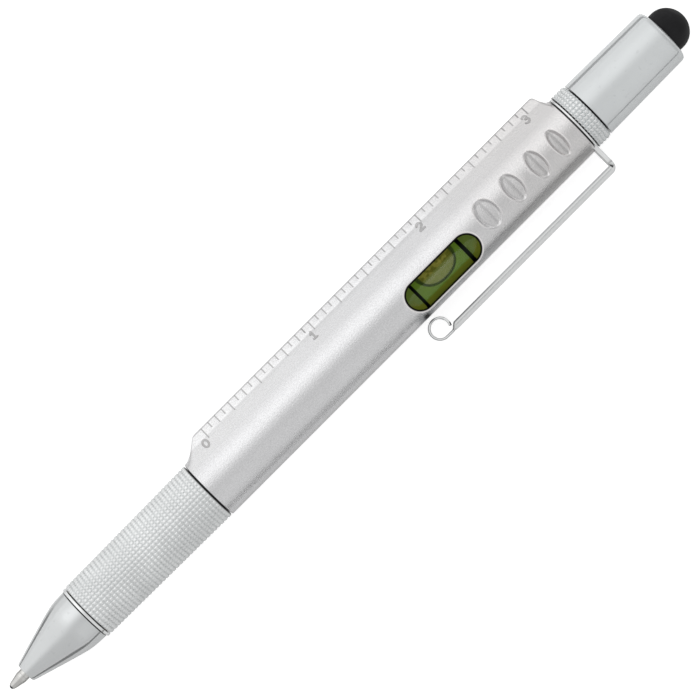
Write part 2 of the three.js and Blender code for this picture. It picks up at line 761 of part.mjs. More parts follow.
// Bit holder with its knurled collar and screwed spigot, hex insert, magnet and seal ring
function holderPieces() {
  const grooveEnd = collarEnd + sealGroove;
  const sealMiddle = collarEnd + seat + sealRadius;
  const grooveFloor = capThreadRadius - sealRadius - run;
  const holder = [
    [0, holderStart],
    [insertedRadius, holderStart],
    [insertedRadius, collarStart],
    [barrelRadius - collarChamfer, collarStart],
    [barrelRadius, collarStart + collarChamfer],
    [barrelRadius, collarEnd - collarChamfer],
    [barrelRadius - collarChamfer, collarEnd],
    [grooveFloor, collarEnd],
    [grooveFloor, grooveEnd],
    [capThreadRadius, grooveEnd],
    [capThreadRadius, spigotEnd],
    [holderBore, spigotEnd],
    [holderBore, holderStart + holderEndWall],
    [0, holderStart + holderEndWall],
  ];
  add('bit_holder', turned(holder), 0xc8cbcd, 1, 0.3);
  add('bit_magnet', tube(hexInsertRadius, 0, magnetStart, magnetStart + magnetLength), 0x6b6e72, 1, 0.4);

  const entry = bitHexStart - insertEntry;
  const sleeve = tube(hexInsertRadius, 0, insertStart, insertEnd);
  const hexHole = tube(socketCorner, 0, entry, insertEnd + overrun, 6);
  const roundHole = tube(bitShaftRadius + 4 * fit, 0, insertStart - overrun, entry + fit, smallSides);
  add('hex_insert', sleeve.subtract(hexHole).subtract(roundHole), 0x8b8f94, 1, 0.35);

  const ring = [];
  const sealLine = grooveFloor + fit + sealRadius;
  for (let n = 0; n < smallSides / 2; n += 1) {
    const angle = (4 * Math.PI * n) / smallSides;
    ring.push([sealLine + sealRadius * Math.sin(angle), sealMiddle - sealRadius * Math.cos(angle)]);
  }
  add('seal_ring', turned(ring), 0x151515, 0, 0.7);
}

// Bit: hex body, a flat blade at its front end and a cross point at its rear end
function bitPiece() {
  const shaft = turned([
    [0, bitStart],
    [bitShaftRadius, bitStart],
    [bitShaftRadius, bitEnd - crossLength / 2],
    [crossTipRadius, bitEnd],
    [0, bitEnd],
  ], smallSides);
  const hex = tube(bitCorner, 0, bitHexStart, bitHexEnd, 6);
  const ends = turned([
    [0, bitHexStart],
    [bitCorner - bitChamfer, bitHexStart],
    [bitCorner, bitHexStart + bitChamfer],
    [bitCorner, bitHexEnd - bitChamfer],
    [bitCorner - bitChamfer, bitHexEnd],
    [0, bitHexEnd],
  ]);
  let bit = shaft.add(hex.intersect(ends));
  for (const side of [-1, 1]) {
    const shape = outline([
      [bitStart - overrun, side * bladeHalf],
      [bitStart + bladeTaper / 4, side * bladeHalf],
      [bitStart + bladeTaper, side * (bitShaftRadius + fit)],
      [bitStart + bladeTaper, side * (bitShaftRadius + overrun)],
      [bitStart - overrun, side * (bitShaftRadius + overrun)],
    ]);
    bit = bit.subtract(across(shape, bitShaftRadius + overrun));
  }
  for (let n = 0; n < 4; n += 1) {
    const flute = new THREE.BoxGeometry(crossLength + overrun, 2 * bitShaftRadius, 2 * bitShaftRadius);
    flute.rotateX(Math.PI / 4).translate((crossLength + overrun) / 2, 0, 0);
    flute.translate(0, crossCore + bitShaftRadius * Math.SQRT2, 0);
    flute.rotateX((Math.PI * (n + 0.5)) / 2).translate(bitEnd - crossLength, 0, 0);
    bit = bit.subtract(solid(flute));
  }
  add('screwdriver_bit', bit, 0x9c9fa3, 1, 0.35);
}

// Cap: screwed insert, tapered shell with a rounded crown, and the stylus held in its end
function capPieces() {
  const threadStart = capStart + capThreadInset;
  const threadEnd = threadStart + capThreadLength;
  add('cap_insert', tube(capInsertRadius, capThreadBore, threadStart, threadEnd), 0xc8a75c, 1, 0.35);

  const crownStart = capEnd - capCrownLength;
  const crown = capCrownShares.map(([along, out]) => [
    capMouth + (capRearRadius - capMouth) * out,
    crownStart + capCrownLength * along,
  ]);
  const shell = [
    [capBore, capStart],
    [capRadius, capStart],
    ...crown,
    [stylusBore, capEnd],
    [stylusBore, shelfEnd],
    [stemRadius + fit, shelfEnd],
    [stemRadius + fit, shelfStart],
    [capBore, shelfStart],
  ];
  add('cap_shell', turned(shell), 0xc8cdd0, 1, 0.12);

  const domeStart = capEnd + stylusSide;
  const dome = (radius, end) => {
    const points = [];
    for (let n = 0; n <= domeSteps; n += 1) {
      const angle = (Math.PI * n) / (2 * domeSteps);
      const out = n === domeSteps ? 0 : radius * Math.cos(angle);
      points.push([out, domeStart + (end - domeStart) * Math.sin(angle)]);
    }
    return points;
  };
  const hollow = stylusRadius - stylusWall;
  const tipStart = shelfEnd + seat;
  const rubber = [
    ...dome(hollow, stylusEnd - stylusWall).reverse(),
    [hollow, tipStart],
    [stylusRadius, tipStart],
    ...dome(stylusRadius, stylusEnd),
  ];
  add('stylus_tip', turned(rubber), 0x232325, 0, 0.6);

  const barbRadius = stemRadius + stemBarbProud;
  const headRadius = hollow - run;
  const plug = [
    [0, stemStart],
    [stemRadius, stemStart],
    [barbRadius, stemStart + stemBarb],
    [barbRadius, shelfStart - seat],
    [stemRadius, shelfStart - seat],
    [stemRadius, tipStart],
    [headRadius, tipStart],
    [headRadius, capEnd],
    [headRadius / 2, domeStart],
    [0, domeStart],
  ];
  add('stylus_plug', turned(plug), 0x3a3b3d, 0, 0.5);
}

barrelPiece();
mechanismPieces();
levelPieces();
holderPieces();
clipPieces();
nosePieces();
gripPieces();
springPiece();
refillPieces();
followerPieces();
bitPiece();
capPieces();

// The origin is under the middle of the pen, on the surface that it lies on
const underside = barrelRadius * Math.cos(Math.PI / roundSides);
pen.position.set(-penLength / 2, (clipOuter - flangeReach) / 2, underside);

export default pen;
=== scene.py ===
"""Multi tool pen: twist point, knurled grip, ruled barrel with a level, sprung clip, stylus cap and stored bit.

Every surface is worked out in millimetres as (station, y, z): the station runs from the ball point along the pen's
axis, y runs from the axis towards the rule, z up through the level. place() turns that into the frame's metres.
"""
import json
import math

import bmesh
import bpy
import numpy as np
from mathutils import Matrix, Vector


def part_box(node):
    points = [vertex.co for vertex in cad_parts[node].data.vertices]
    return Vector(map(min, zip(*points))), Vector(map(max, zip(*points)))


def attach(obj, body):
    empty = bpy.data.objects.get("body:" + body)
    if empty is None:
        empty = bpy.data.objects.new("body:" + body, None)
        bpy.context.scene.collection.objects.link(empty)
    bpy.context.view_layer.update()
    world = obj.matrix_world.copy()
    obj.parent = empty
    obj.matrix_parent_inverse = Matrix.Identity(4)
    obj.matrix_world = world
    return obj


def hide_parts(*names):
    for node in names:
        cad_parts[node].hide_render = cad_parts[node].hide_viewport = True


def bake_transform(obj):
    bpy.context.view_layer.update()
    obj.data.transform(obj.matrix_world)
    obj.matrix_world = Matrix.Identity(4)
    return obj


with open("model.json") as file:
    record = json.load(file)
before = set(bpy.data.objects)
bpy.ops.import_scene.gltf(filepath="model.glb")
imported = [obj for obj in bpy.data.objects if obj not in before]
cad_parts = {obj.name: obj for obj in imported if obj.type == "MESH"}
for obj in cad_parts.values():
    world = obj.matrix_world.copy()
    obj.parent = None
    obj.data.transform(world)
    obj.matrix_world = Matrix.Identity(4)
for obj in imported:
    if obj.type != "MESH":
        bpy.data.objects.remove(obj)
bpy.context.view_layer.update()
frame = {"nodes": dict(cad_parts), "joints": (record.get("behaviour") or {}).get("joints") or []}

scene = bpy.context.scene
scene.view_settings.view_transform = "Standard"

MM = 0.001
twist = next(joint for joint in frame["joints"] if joint["name"] == "grip_twist")
AXIS_Y, AXIS_Z = twist["pos_m"][1], twist["pos_m"][2]
FRONT_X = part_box("tip_ball")[0].x

# Camera

camera = bpy.data.objects.new("camera", bpy.data.cameras.new("camera"))
scene.collection.objects.link(camera)
camera.data.sensor_width = 36
camera.data.lens = 227.8
camera.data.clip_start = 0.01
camera.location = (0.00057, 0.00067, 0.750)
camera.rotation_euler = (0, 0, math.radians(-45.04))
scene.camera = camera


# Surfaces

def place(points):
    """Millimetre points to metres: station plus the front end's x, y and z plus the axis' place."""
    return points * MM + np.array([FRONT_X, AXIS_Y, AXIS_Z])


WELD = 1e-4


def weld(patches):
    """Joins grid patches into one skin. Each cell of a grid is a face, points in the same cube of a ten-thousandth
    of a millimetre become one point, a cell with one closed side becomes a triangle and a flat cell is dropped.
    The cubes are set off a little, so that round numbers lie inside them and not on their walls."""
    points = np.concatenate([grid.reshape(-1, 3) for grid in patches])
    cells, first = [], 0
    for grid in patches:
        rows, columns = grid.shape[:2]
        n = first + np.arange(rows * columns).reshape(rows, columns)
        cells.append(np.stack([n[:-1, :-1], n[1:, :-1], n[1:, 1:], n[:-1, 1:]], -1).reshape(-1, 4))
        first += rows * columns
    key = np.floor(points / WELD + 0.37).astype(np.int64)
    kept, same = np.unique(key, axis=0, return_index=True, return_inverse=True)[1:]
    a, b, c, d = same.reshape(-1)[np.concatenate(cells)].T
    closed = np.stack([a == b, b == c, c == d, d == a])
    sides = closed.sum(0)
    crossed = (a == c) | (b == d)
    quads = np.stack([a, b, c, d], -1)[(sides == 0) & ~crossed]
    thirds = np.where(closed[0][:, None], np.stack([a, c, d], -1), np.stack([a, b, c], -1))
    thirds = np.where(closed[1][:, None], np.stack([a, b, d], -1), thirds)
    thirds = thirds[(sides == 1) & ~crossed]
    return points[kept], quads.tolist() + thirds.tolist(), kept


def skin(name, patches, material, sharp=40, **marks):
    """A mesh object from grid patches, faces outward, smooth except where faces meet at more than the sharp
    angle. Each mark is a list of arrays, one value for each point of each patch, kept as a point attribute."""
    points, faces, kept = weld(patches)
    mesh = bpy.data.meshes.new(name)
    mesh.from_pydata(place(points).tolist(), [], faces)
    shell = bmesh.new()
    shell.from_mesh(mesh)
    bmesh.ops.recalc_face_normals(shell, faces=shell.faces)
    shell.to_mesh(mesh)
    shell.free()
    for label, values in marks.items():
        layer = mesh.attributes.new(label, "FLOAT", "POINT")
        each_point = np.concatenate([patch.reshape(-1) for patch in values])
        layer.data.foreach_set("value", each_point[kept].astype(np.float32))
    mesh.shade_smooth()
    mesh.set_sharp_from_angle(angle=math.radians(sharp))
    mesh.materials.append(material)
    made = bpy.data.objects.new(name, mesh)
    scene.collection.objects.link(made)
    return made


def finish_piece(made, body, slot, *nodes):
    """Hides the nodes that a piece stands for and hangs the piece on the body that carries it, where it has one. The
    slot is not used.
    """
    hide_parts(*nodes)
    if body:
        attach(made, body)


def rounded(corners):
    """A profile of (station, radius, round) corners. Each corner is a curve that starts one round before it and
    ends one round after it: the weighted mean of start, corner and end, with two points kept near it on the flats."""
    corners = [np.array(c, float) for c in corners]
    line = [corners[0][:2]]
    for before, here, after in zip(corners, corners[1:], corners[2:]):
        point, cut = here[:2], here[2]
        back, on = before[:2] - point, after[:2] - point
        cut = min(cut, 0.45 * np.hypot(*back), 0.45 * np.hypot(*on))
        if cut < 1e-4:
            line.append(point)
            continue
        back, on = back / np.hypot(*back), on / np.hypot(*on)
        start, end = point + back * cut, point + on * cut
        line.append(start + back * cut * 0.1)
        for k in np.linspace(0, 1, 5):
            line.append((1 - k) ** 2 * start + 2 * k * (1 - k) * point + k ** 2 * end)
        line.append(end + on * cut * 0.1)
    line.append(corners[-1][:2])
    return np.array(line)


def ring_round(corners):
    """A closed profile, for a piece with a hole through it: the corners in order, and back to the first."""
    first = (np.array(corners[0]) + np.array(corners[-1])) / 2
    return rounded([first, *corners, first])


def round_grid(station, radius, turn, centre=(0.0, 0.0)):
    """Points at a station, a radius and a turn about the axis: y is the radius times the turn's cosine, z times
    its sine."""
    return np.stack([station + 0 * turn, centre[0] + radius * np.cos(turn), centre[1] + radius * np.sin(turn)], -1)


def turned(profile, sides=96, centre=(0.0, 0.0)):
    """The profile's (station, radius) points carried round the axis in equal steps of angle."""
    angle = np.linspace(0, 2 * np.pi, sides + 1)
    station, radius = profile[:, 0][:, None], profile[:, 1][:, None]
    turn = np.broadcast_to(angle, (len(profile), sides + 1))
    return round_grid(station, radius, turn, centre)


def flowing(points):
    """A smooth line through the points: between two of them, in eight steps, the cubic whose slope at each is twice
    the product of the slopes beside it over their sum, or nought where those differ in sign."""
    x, y = np.array(points, float).T
    slope = np.diff(y) / np.diff(x)
    squared = slope[1:] * slope[:-1]
    mean = np.where(squared > 0, 2 * squared / (slope[1:] + slope[:-1] + 1e-12), 0)
    tangent = np.concatenate([slope[:1], mean, slope[-1:]])
    k = np.arange(8)[None] / 8
    width = np.diff(x)[:, None]
    line_x = (x[:-1, None] + width * k).reshape(-1)
    line_y = (
        (2 * k ** 3 - 3 * k ** 2 + 1) * y[:-1, None] + (k ** 3 - 2 * k ** 2 + k) * width * tangent[:-1, None]
        + (3 * k ** 2 - 2 * k ** 3) * y[1:, None] + (k ** 3 - k ** 2) * width * tangent[1:, None]
    ).reshape(-1)
    return np.append(line_x, x[-1]), np.append(line_y, y[-1])


def step_up(value, low, high):
    """Nought below low, one above high, and the smooth S curve 3t2 - 2t3 between."""
    t = np.clip((value - low) / (high - low), 0, 1)
    return t * t * (3 - 2 * t)


# Material building

def wire(tree, value, socket):
    """Links the value to the socket where it is a node's output, or else sets it there."""
    if isinstance(value, bpy.types.NodeSocket):
        tree.links.new(value, socket)
    else:
        socket.default_value = value


def put(tree, kind, inputs=None, **settings):
    """A node of that kind with its settings, and a value or a link on each named input."""
    made = tree.nodes.new(kind)
    for name, value in settings.items():
        setattr(made, name, value)
    for name, value in (inputs or {}).items():
        wire(tree, value, made.inputs[name])
    return made


def sum_of(tree, operation, first, second=0.5, third=0.5):
    """The result of one Math node."""
    made = put(tree, "ShaderNodeMath", operation=operation)
    for n, value in enumerate((first, second, third)):
        wire(tree, value, made.inputs[n])
    return made.outputs[0]


def product(tree, first, *others):
    """The values multiplied with one another."""
    for other in others:
        first = sum_of(tree, "MULTIPLY", first, other)
    return first


def towards(tree, share, first, second):
    """The first value, moved that share of the way to the second."""
    return sum_of(tree, "MULTIPLY_ADD", sum_of(tree, "SUBTRACT", second, first), share, first)


def spread(tree, value, low, high, to_low=0.0, to_high=1.0):
    """The value, eased from the range low to high into the range to_low to to_high."""
    limits = {"Value": value, "From Min": low, "From Max": high, "To Min": to_low, "To Max": to_high}
    return put(tree, "ShaderNodeMapRange", limits, interpolation_type="SMOOTHSTEP").outputs["Result"]


def mixed(tree, share, first, second):
    """The first colour, and that share of the second over it."""
    made = put(tree, "ShaderNodeMix", data_type="RGBA", clamp_factor=True)
    wire(tree, share, made.inputs["Factor"])
    for name, value in (("A", first), ("B", second)):
        socket = next(s for s in made.inputs if s.name == name and s.type == "RGBA")
        wire(tree, (*value, 1) if isinstance(value, tuple) and len(value) == 3 else value, socket)
    return next(s for s in made.outputs if s.type == "RGBA")


def effect(name, numbers, outputs):
    """An empty node group with a Vector input, the named number inputs and the named outputs."""
    group = bpy.data.node_groups.new(name, "ShaderNodeTree")
    group.interface.new_socket("Vector", in_out="INPUT", socket_type="NodeSocketVector")
    for label, number in numbers.items():
        socket = group.interface.new_socket(label, in_out="INPUT", socket_type="NodeSocketFloat")
        socket.default_value = number
    for label in outputs:
        group.interface.new_socket(label, in_out="OUTPUT", socket_type="NodeSocketFloat")
    return group, group.nodes.new("NodeGroupInput"), group.nodes.new("NodeGroupOutput")


def fine_grain():
    """Height of a blasted and painted metal: two noises, one for the grain and one three times finer."""
    group, given, out = effect("fine_grain", {"Size": 0.15}, ["Height"])
    scale = sum_of(group, "DIVIDE", 1000.0, given.outputs["Size"])
    where = given.outputs["Vector"]
    coarse = put(group, "ShaderNodeTexNoise", {"Vector": where, "Scale": scale, "Detail": 2.0})
    finer = product(group, scale, 3.1)
    fine = put(group, "ShaderNodeTexNoise", {"Vector": where, "Scale": finer, "Detail": 1.0})
    both = sum_of(group, "MULTIPLY_ADD", fine.outputs["Fac"], 0.5, coarse.outputs["Fac"])
    wire(group, both, out.inputs["Height"])
    return group


def tool_lines():
    """Height of lathe lines: a noise that changes quickly along the pen and hardly at all across it."""
    group, given, out = effect("tool_lines", {"Pitch": 0.08, "Along": 1.0, "Across": 0.02}, ["Height"])
    parts = put(group, "ShaderNodeSeparateXYZ", {"Vector": given.outputs["Vector"]})
    per = sum_of(group, "DIVIDE", 1000.0, given.outputs["Pitch"])
    along, across = product(group, per, given.outputs["Along"]), product(group, per, given.outputs["Across"])
    vector = put(group, "ShaderNodeCombineXYZ", {
        "X": product(group, parts.outputs["X"], along),
        "Y": product(group, parts.outputs["Y"], across),
        "Z": product(group, parts.outputs["Z"], across),
    })
    lines = put(group, "ShaderNodeTexNoise", {"Vector": vector.outputs["Vector"], "Scale": 1.0, "Detail": 2.0})
    wire(group, lines.outputs["Fac"], out.inputs["Height"])
    return group


def handling():
    """Where fingers have been: broad soft clouds, and a sprinkle of small faint spots."""
    group, given, out = effect("handling", {"Size": 6.0}, ["Smudge", "Spots"])
    scale = sum_of(group, "DIVIDE", 1000.0, given.outputs["Size"])
    cloud = put(group, "ShaderNodeTexNoise", {
        "Vector": given.outputs["Vector"], "Scale": scale, "Detail": 3.0, "Distortion": 0.6,
    })
    spot = put(group, "ShaderNodeTexNoise", {
        "Vector": given.outputs["Vector"], "Scale": product(group, scale, 9.0), "Detail": 2.0,
    })
    wire(group, spread(group, cloud.outputs["Fac"], 0.35, 0.7), out.inputs["Smudge"])
    wire(group, spread(group, spot.outputs["Fac"], 0.62, 0.75), out.inputs["Spots"])
    return group


GRAIN, LINES, HANDLING = fine_grain(), tool_lines(), handling()


def mark(tree, name):
    """The value of one of the piece's point attributes."""
    return put(tree, "ShaderNodeAttribute", attribute_name=name).outputs["Fac"]


def start_material(name):
    """A material with one Principled shader, and the place of each point on the piece for its patterns."""
    made = bpy.data.materials.new(name)
    made.use_nodes = True
    made.node_tree.nodes.clear()
    tree = made.node_tree
    shader = put(tree, "ShaderNodeBsdfPrincipled")
    out = put(tree, "ShaderNodeOutputMaterial")
    tree.links.new(shader.outputs["BSDF"], out.inputs["Surface"])
    where = put(tree, "ShaderNodeTexCoord").outputs["Object"]
    return made, tree, shader, where


def place_effect(tree, group, where, **numbers):
    """The outputs of an effect's group, placed in the material with its own numbers."""
    made = put(tree, "ShaderNodeGroup", node_tree=group)
    tree.links.new(where, made.inputs["Vector"])
    for name, number in numbers.items():
        made.inputs[name].default_value = number
    return made.outputs


def raised(tree, height, distance):
    """The normal of a surface whose height varies by the distance, in millimetres."""
    bump = put(tree, "ShaderNodeBump", {"Height": height, "Distance": distance * MM, "Strength": 1.0})
    return bump.outputs["Normal"]


# The second colour is painted shade: near black, for gaps and creases where shade falls.
SHINE, PAINTED_SHADE = (0.958, 0.97, 0.97), (0.012, 0.012, 0.013)


def metal(name, colour, rough, lines=None, grain=None, depth=0.002, smudge=0.08, dull=0.88, plating=1.0,
          groove=None):
    """Bare or plated metal: lathe lines or a blasted grain, roughness that rises where it has been handled, a
    colour that dulls there, the groove colour, a painted shade, where the piece's groove attribute is one, a
    bright polish where its shine attribute is, and painted black shade where its shade attribute is. Plating
    under one lets the pale satin coat below it show."""
    made, tree, shader, where = start_material(name)
    touched = place_effect(tree, HANDLING, where, Size=7.0)
    tone = mixed(tree, touched["Smudge"], colour, tuple(c * dull for c in colour))
    tone = mixed(tree, product(tree, touched["Spots"], 0.35), tone, tuple(c * 0.75 for c in colour))
    if groove:
        tone = mixed(tree, mark(tree, "groove"), tone, groove)
    tone = mixed(tree, mark(tree, "shine"), tone, SHINE)
    # Painted shade: near black where the shade attribute is.
    tone = mixed(tree, mark(tree, "shade"), tone, PAINTED_SHADE)
    wire(tree, tone, shader.inputs["Base Color"])
    wire(tree, spread(tree, touched["Smudge"], 0, 1, rough, rough + smudge), shader.inputs["Roughness"])
    shader.inputs["Metallic"].default_value = plating
    if grain:
        height = place_effect(tree, GRAIN, where, Size=grain)["Height"]
    else:
        height = place_effect(tree, LINES, where, Pitch=lines)["Height"]
    wire(tree, raised(tree, height, depth), shader.inputs["Normal"])
    return made


def plastic(name, colour, rough, grain, depth=0.01, sheen=0.0, level=0.5):
    """Moulded plastic or rubber: a fine moulded grain, and a colour and gloss that wander a little."""
    made, tree, shader, where = start_material(name)
    touched = place_effect(tree, HANDLING, where, Size=4.0)
    tone = mixed(tree, touched["Smudge"], colour, tuple(c * 0.8 for c in colour))
    wire(tree, tone, shader.inputs["Base Color"])
    wire(tree, spread(tree, touched["Smudge"], 0, 1, rough, rough + 0.12), shader.inputs["Roughness"])
    shader.inputs["Sheen Weight"].default_value = sheen
    shader.inputs["Specular IOR Level"].default_value = level
    height = place_effect(tree, GRAIN, where, Size=grain)["Height"]
    wire(tree, raised(tree, height, depth), shader.inputs["Normal"])
    return made


def satin_barrel():
    """Satin silver paint on metal: a fine even grain, a slightly warmer rear half, a paler front of the flange,
    painted shade in the cut marks and along the flange's outer edge, a painted highlight of near-white, less
    metallic paint round the window and the finger recesses, and painted black shade in the gaps."""
    made, tree, shader, where = start_material("satin_silver_paint")
    touched = place_effect(tree, HANDLING, where, Size=9.0)
    parts = put(tree, "ShaderNodeSeparateXYZ", {"Vector": where})
    along, aside = parts.outputs["X"], parts.outputs["Y"]
    rear = spread(tree, along, FRONT_X + 95 * MM, FRONT_X + 130 * MM)
    tone = mixed(tree, rear, (0.84, 0.84, 0.85), (0.795, 0.78, 0.775))
    front = spread(tree, along, FRONT_X + 56 * MM, FRONT_X + 96 * MM, 1.0, 0.0)
    flange = spread(tree, aside, 3.8 * MM, 5.4 * MM, 0.0, front)
    tone = mixed(tree, flange, tone, (0.905, 0.905, 0.91))
    tone = mixed(tree, product(tree, touched["Smudge"], 0.12), tone, (0.70, 0.695, 0.70))
    speck = put(tree, "ShaderNodeTexNoise", {"Vector": where, "Scale": 4200.0, "Detail": 2.0}).outputs["Fac"]
    tone = mixed(tree, spread(tree, speck, 0.35, 0.65, 0.0, 0.30), tone, (0.60, 0.60, 0.61))
    # Painted shade: a darker grey in the cut marks and along the flange's outer edge.
    tone = mixed(tree, mark(tree, "cut"), tone, (0.38, 0.375, 0.375))
    # Painted highlight: near white, and mostly not metallic, where the rim mark is.
    rim = mark(tree, "rim")
    tone = mixed(tree, rim, tone, (0.98, 0.955, 0.95))
    # Painted shade: near black where the shade mark is.
    tone = mixed(tree, mark(tree, "shade"), tone, (0.010, 0.009, 0.008))
    wire(tree, tone, shader.inputs["Base Color"])
    wire(tree, spread(tree, touched["Smudge"], 0, 1, 0.24, 0.27), shader.inputs["Roughness"])
    wire(tree, sum_of(tree, "MULTIPLY_ADD", rim, -0.85, 1.0), shader.inputs["Metallic"])
    grain = place_effect(tree, GRAIN, where, Size=0.25)["Height"]
    lines = place_effect(tree, LINES, where, Pitch=0.5, Along=0.05, Across=1.0)["Height"]
    both = sum_of(tree, "MULTIPLY_ADD", lines, 0.3, grain)
    wire(tree, raised(tree, both, 0.035), shader.inputs["Normal"])
    return made


def level_fluid():
    """Dyed fluid drawn as a solid under the clear vial, with a painted glow: its tone is also given off as light,
    which makes up for the shade that the window's walls cast on it. Its attributes say where each tone is: the upper
    zone by the rule, the olive band round the low side and the ends, the bubble, its mottled upper part and its
    dark line, a painted dark ring that stands for refraction at the bubble's edge."""
    made, tree, shader, where = start_material("level_fluid")
    tone = mixed(tree, mark(tree, "upper"), (0.089, 0.148, 0.024), (0.078, 0.140, 0.015))
    tone = mixed(tree, mark(tree, "end"), tone, (0.082, 0.118, 0.022))
    tone = mixed(tree, mark(tree, "band"), tone, (0.098, 0.112, 0.012))
    mottle = put(tree, "ShaderNodeTexNoise", {"Vector": where, "Scale": 1100.0, "Detail": 1.0}).outputs["Fac"]
    patchy = mixed(tree, spread(tree, mottle, 0.4, 0.6), (0.092, 0.092, 0.012), (0.190, 0.176, 0.036))
    inside = mixed(tree, mark(tree, "patch"), (0.136, 0.152, 0.046), patchy)
    tone = mixed(tree, mark(tree, "bubble"), tone, inside)
    # Painted refraction: a dark ring where the bubble's edge bends the light.
    tone = mixed(tree, mark(tree, "meniscus"), tone, (0.022, 0.036, 0.008))
    cloud = place_effect(tree, HANDLING, where, Size=1.2)
    tone = mixed(tree, product(tree, cloud["Smudge"], 0.25), tone, (0.055, 0.085, 0.012))
    wire(tree, tone, shader.inputs["Base Color"])
    # Painted glow: the tone is also given off as light, to lift the shade in the window.
    wire(tree, tone, shader.inputs["Emission Color"])
    shader.inputs["Emission Strength"].default_value = 0.68
    wire(tree, spread(tree, cloud["Smudge"], 0, 1, 0.35, 0.5), shader.inputs["Roughness"])
    shader.inputs["Specular IOR Level"].default_value = 0.05
    return made


VIAL_IOR = 1.35


def clear_vial():
    """Clear moulded plastic with faint waves from the mould."""
    made, tree, shader, where = start_material("clear_vial")
    touched = place_effect(tree, HANDLING, where, Size=3.0)
    tone = mixed(tree, touched["Smudge"], (0.96, 0.98, 0.90), (0.92, 0.95, 0.84))
    wire(tree, tone, shader.inputs["Base Color"])
    shader.inputs["Transmission Weight"].default_value = 1.0
    shader.inputs["IOR"].default_value = VIAL_IOR
    shader.inputs["Roughness"].default_value = 0.03
    waves = place_effect(tree, LINES, where, Pitch=1.5)["Height"]
    wire(tree, raised(tree, waves, 0.002), shader.inputs["Normal"])
    return made


FINISH = {
    "satin_silver": satin_barrel(),
    # The knurls' groove colour is painted shade, darker in the grooves between the teeth.
    "knurled_chrome": metal(
        "knurled_plate", (0.96, 0.975, 0.975), 0.18, grain=0.2, plating=0.56, groove=(0.79, 0.815, 0.82),
    ),
    "nose_chrome": metal(
        "nose_plate", (0.75, 0.768, 0.772), 0.09, lines=0.12, depth=0.0006, smudge=0.02, dull=0.97, plating=0.64,
    ),
    "cap_chrome": metal(
        "cap_plate", (0.775, 0.80, 0.807), 0.08, lines=0.15, depth=0.0006, smudge=0.02, dull=0.97, plating=0.48,
    ),
    "clip_chrome": metal("clip_plate", (0.88, 0.895, 0.90), 0.15, grain=0.6, depth=0.0015, plating=0.45),
    "brass": metal("turned_brass", (0.76, 0.60, 0.32), 0.28, lines=0.12, depth=0.004),
    "spring_steel": metal("drawn_spring_steel", (0.60, 0.61, 0.63), 0.30, grain=0.1),
    "tool_steel": metal("ground_tool_steel", (0.48, 0.49, 0.51), 0.30, lines=0.2, depth=0.004),
    "refill_steel": metal("drawn_tube", (0.70, 0.71, 0.72), 0.24, lines=0.3),
    "nickel_silver": metal("turned_point", (0.76, 0.755, 0.735), 0.15, lines=0.08, depth=0.001),
    "ball_carbide": metal("ground_ball", (0.09, 0.095, 0.105), 0.15, grain=0.05, depth=0.0005),
    "magnet": metal("plated_magnet", (0.45, 0.46, 0.48), 0.30, grain=0.15),
    "white_plastic": plastic("white_moulding", (0.82, 0.82, 0.78), 0.40, 0.3),
    "black_plastic": plastic("black_moulding", (0.035, 0.035, 0.036), 0.38, 0.25),
    "olive_plastic": plastic("olive_moulding", (0.10, 0.115, 0.035), 0.42, 0.3),
    "black_line": plastic("gauge_line", (0.004, 0.007, 0.004), 0.60, 0.1, depth=0.003, level=0.1),
    "black_rubber": plastic("seal_rubber", (0.018, 0.018, 0.018), 0.55, 0.12, sheen=0.1),
    "stylus_rubber": plastic("stylus_rubber", (0.006, 0.006, 0.0075), 0.62, 0.10, level=0.35),
    "clear_vial": clear_vial(),
    "level_fluid": level_fluid(),
}

# Point, nose and grip

BALL_RADIUS = 0.5
NOSE_END = 17.68
GRIP_START, GRIP_END, GRIP_BORE = 18.56, 46.90, 4.715


def point_and_ball():
    """A round ball, and a point whose cone and rod are one turned profile with its mouth rolled over the ball."""
    angle = np.linspace(0, np.pi, 25)
    ball = BALL_RADIUS * np.stack([1 - np.cos(angle), np.sin(angle)], -1)
    made = skin("ball", [turned(ball, 48)], FINISH["ball_carbide"])
    finish_piece(made, "refill", "ball_carbide", "tip_ball")
    profile = ring_round([
        (0.36, 0.51, 0.02), (0.36, 0.575, 0.05), (0.62, 0.66, 0.1), (1.95, 0.955, 0.1), (2.1, 1.01, 0.05),
        (2.5, 1.085, 0.1), (3.0, 1.085, 0.02), (3.04, 1.06, 0.01), (3.1, 1.06, 0.01), (3.14, 1.085, 0.02),
        (11.4, 1.085, 0.1), (11.4, 0.72, 0.05), (15.0, 0.72, 0.05), (15.0, 0.25, 0.02), (1.4, 0.25, 0.1),
        (1.0, 0.55, 0.1), (0.6, 0.55, 0.05),
    ])
    made = skin("point", [turned(profile, 64)], FINISH["nickel_silver"])
    finish_piece(made, "refill", "nickel_silver", "refill_point")


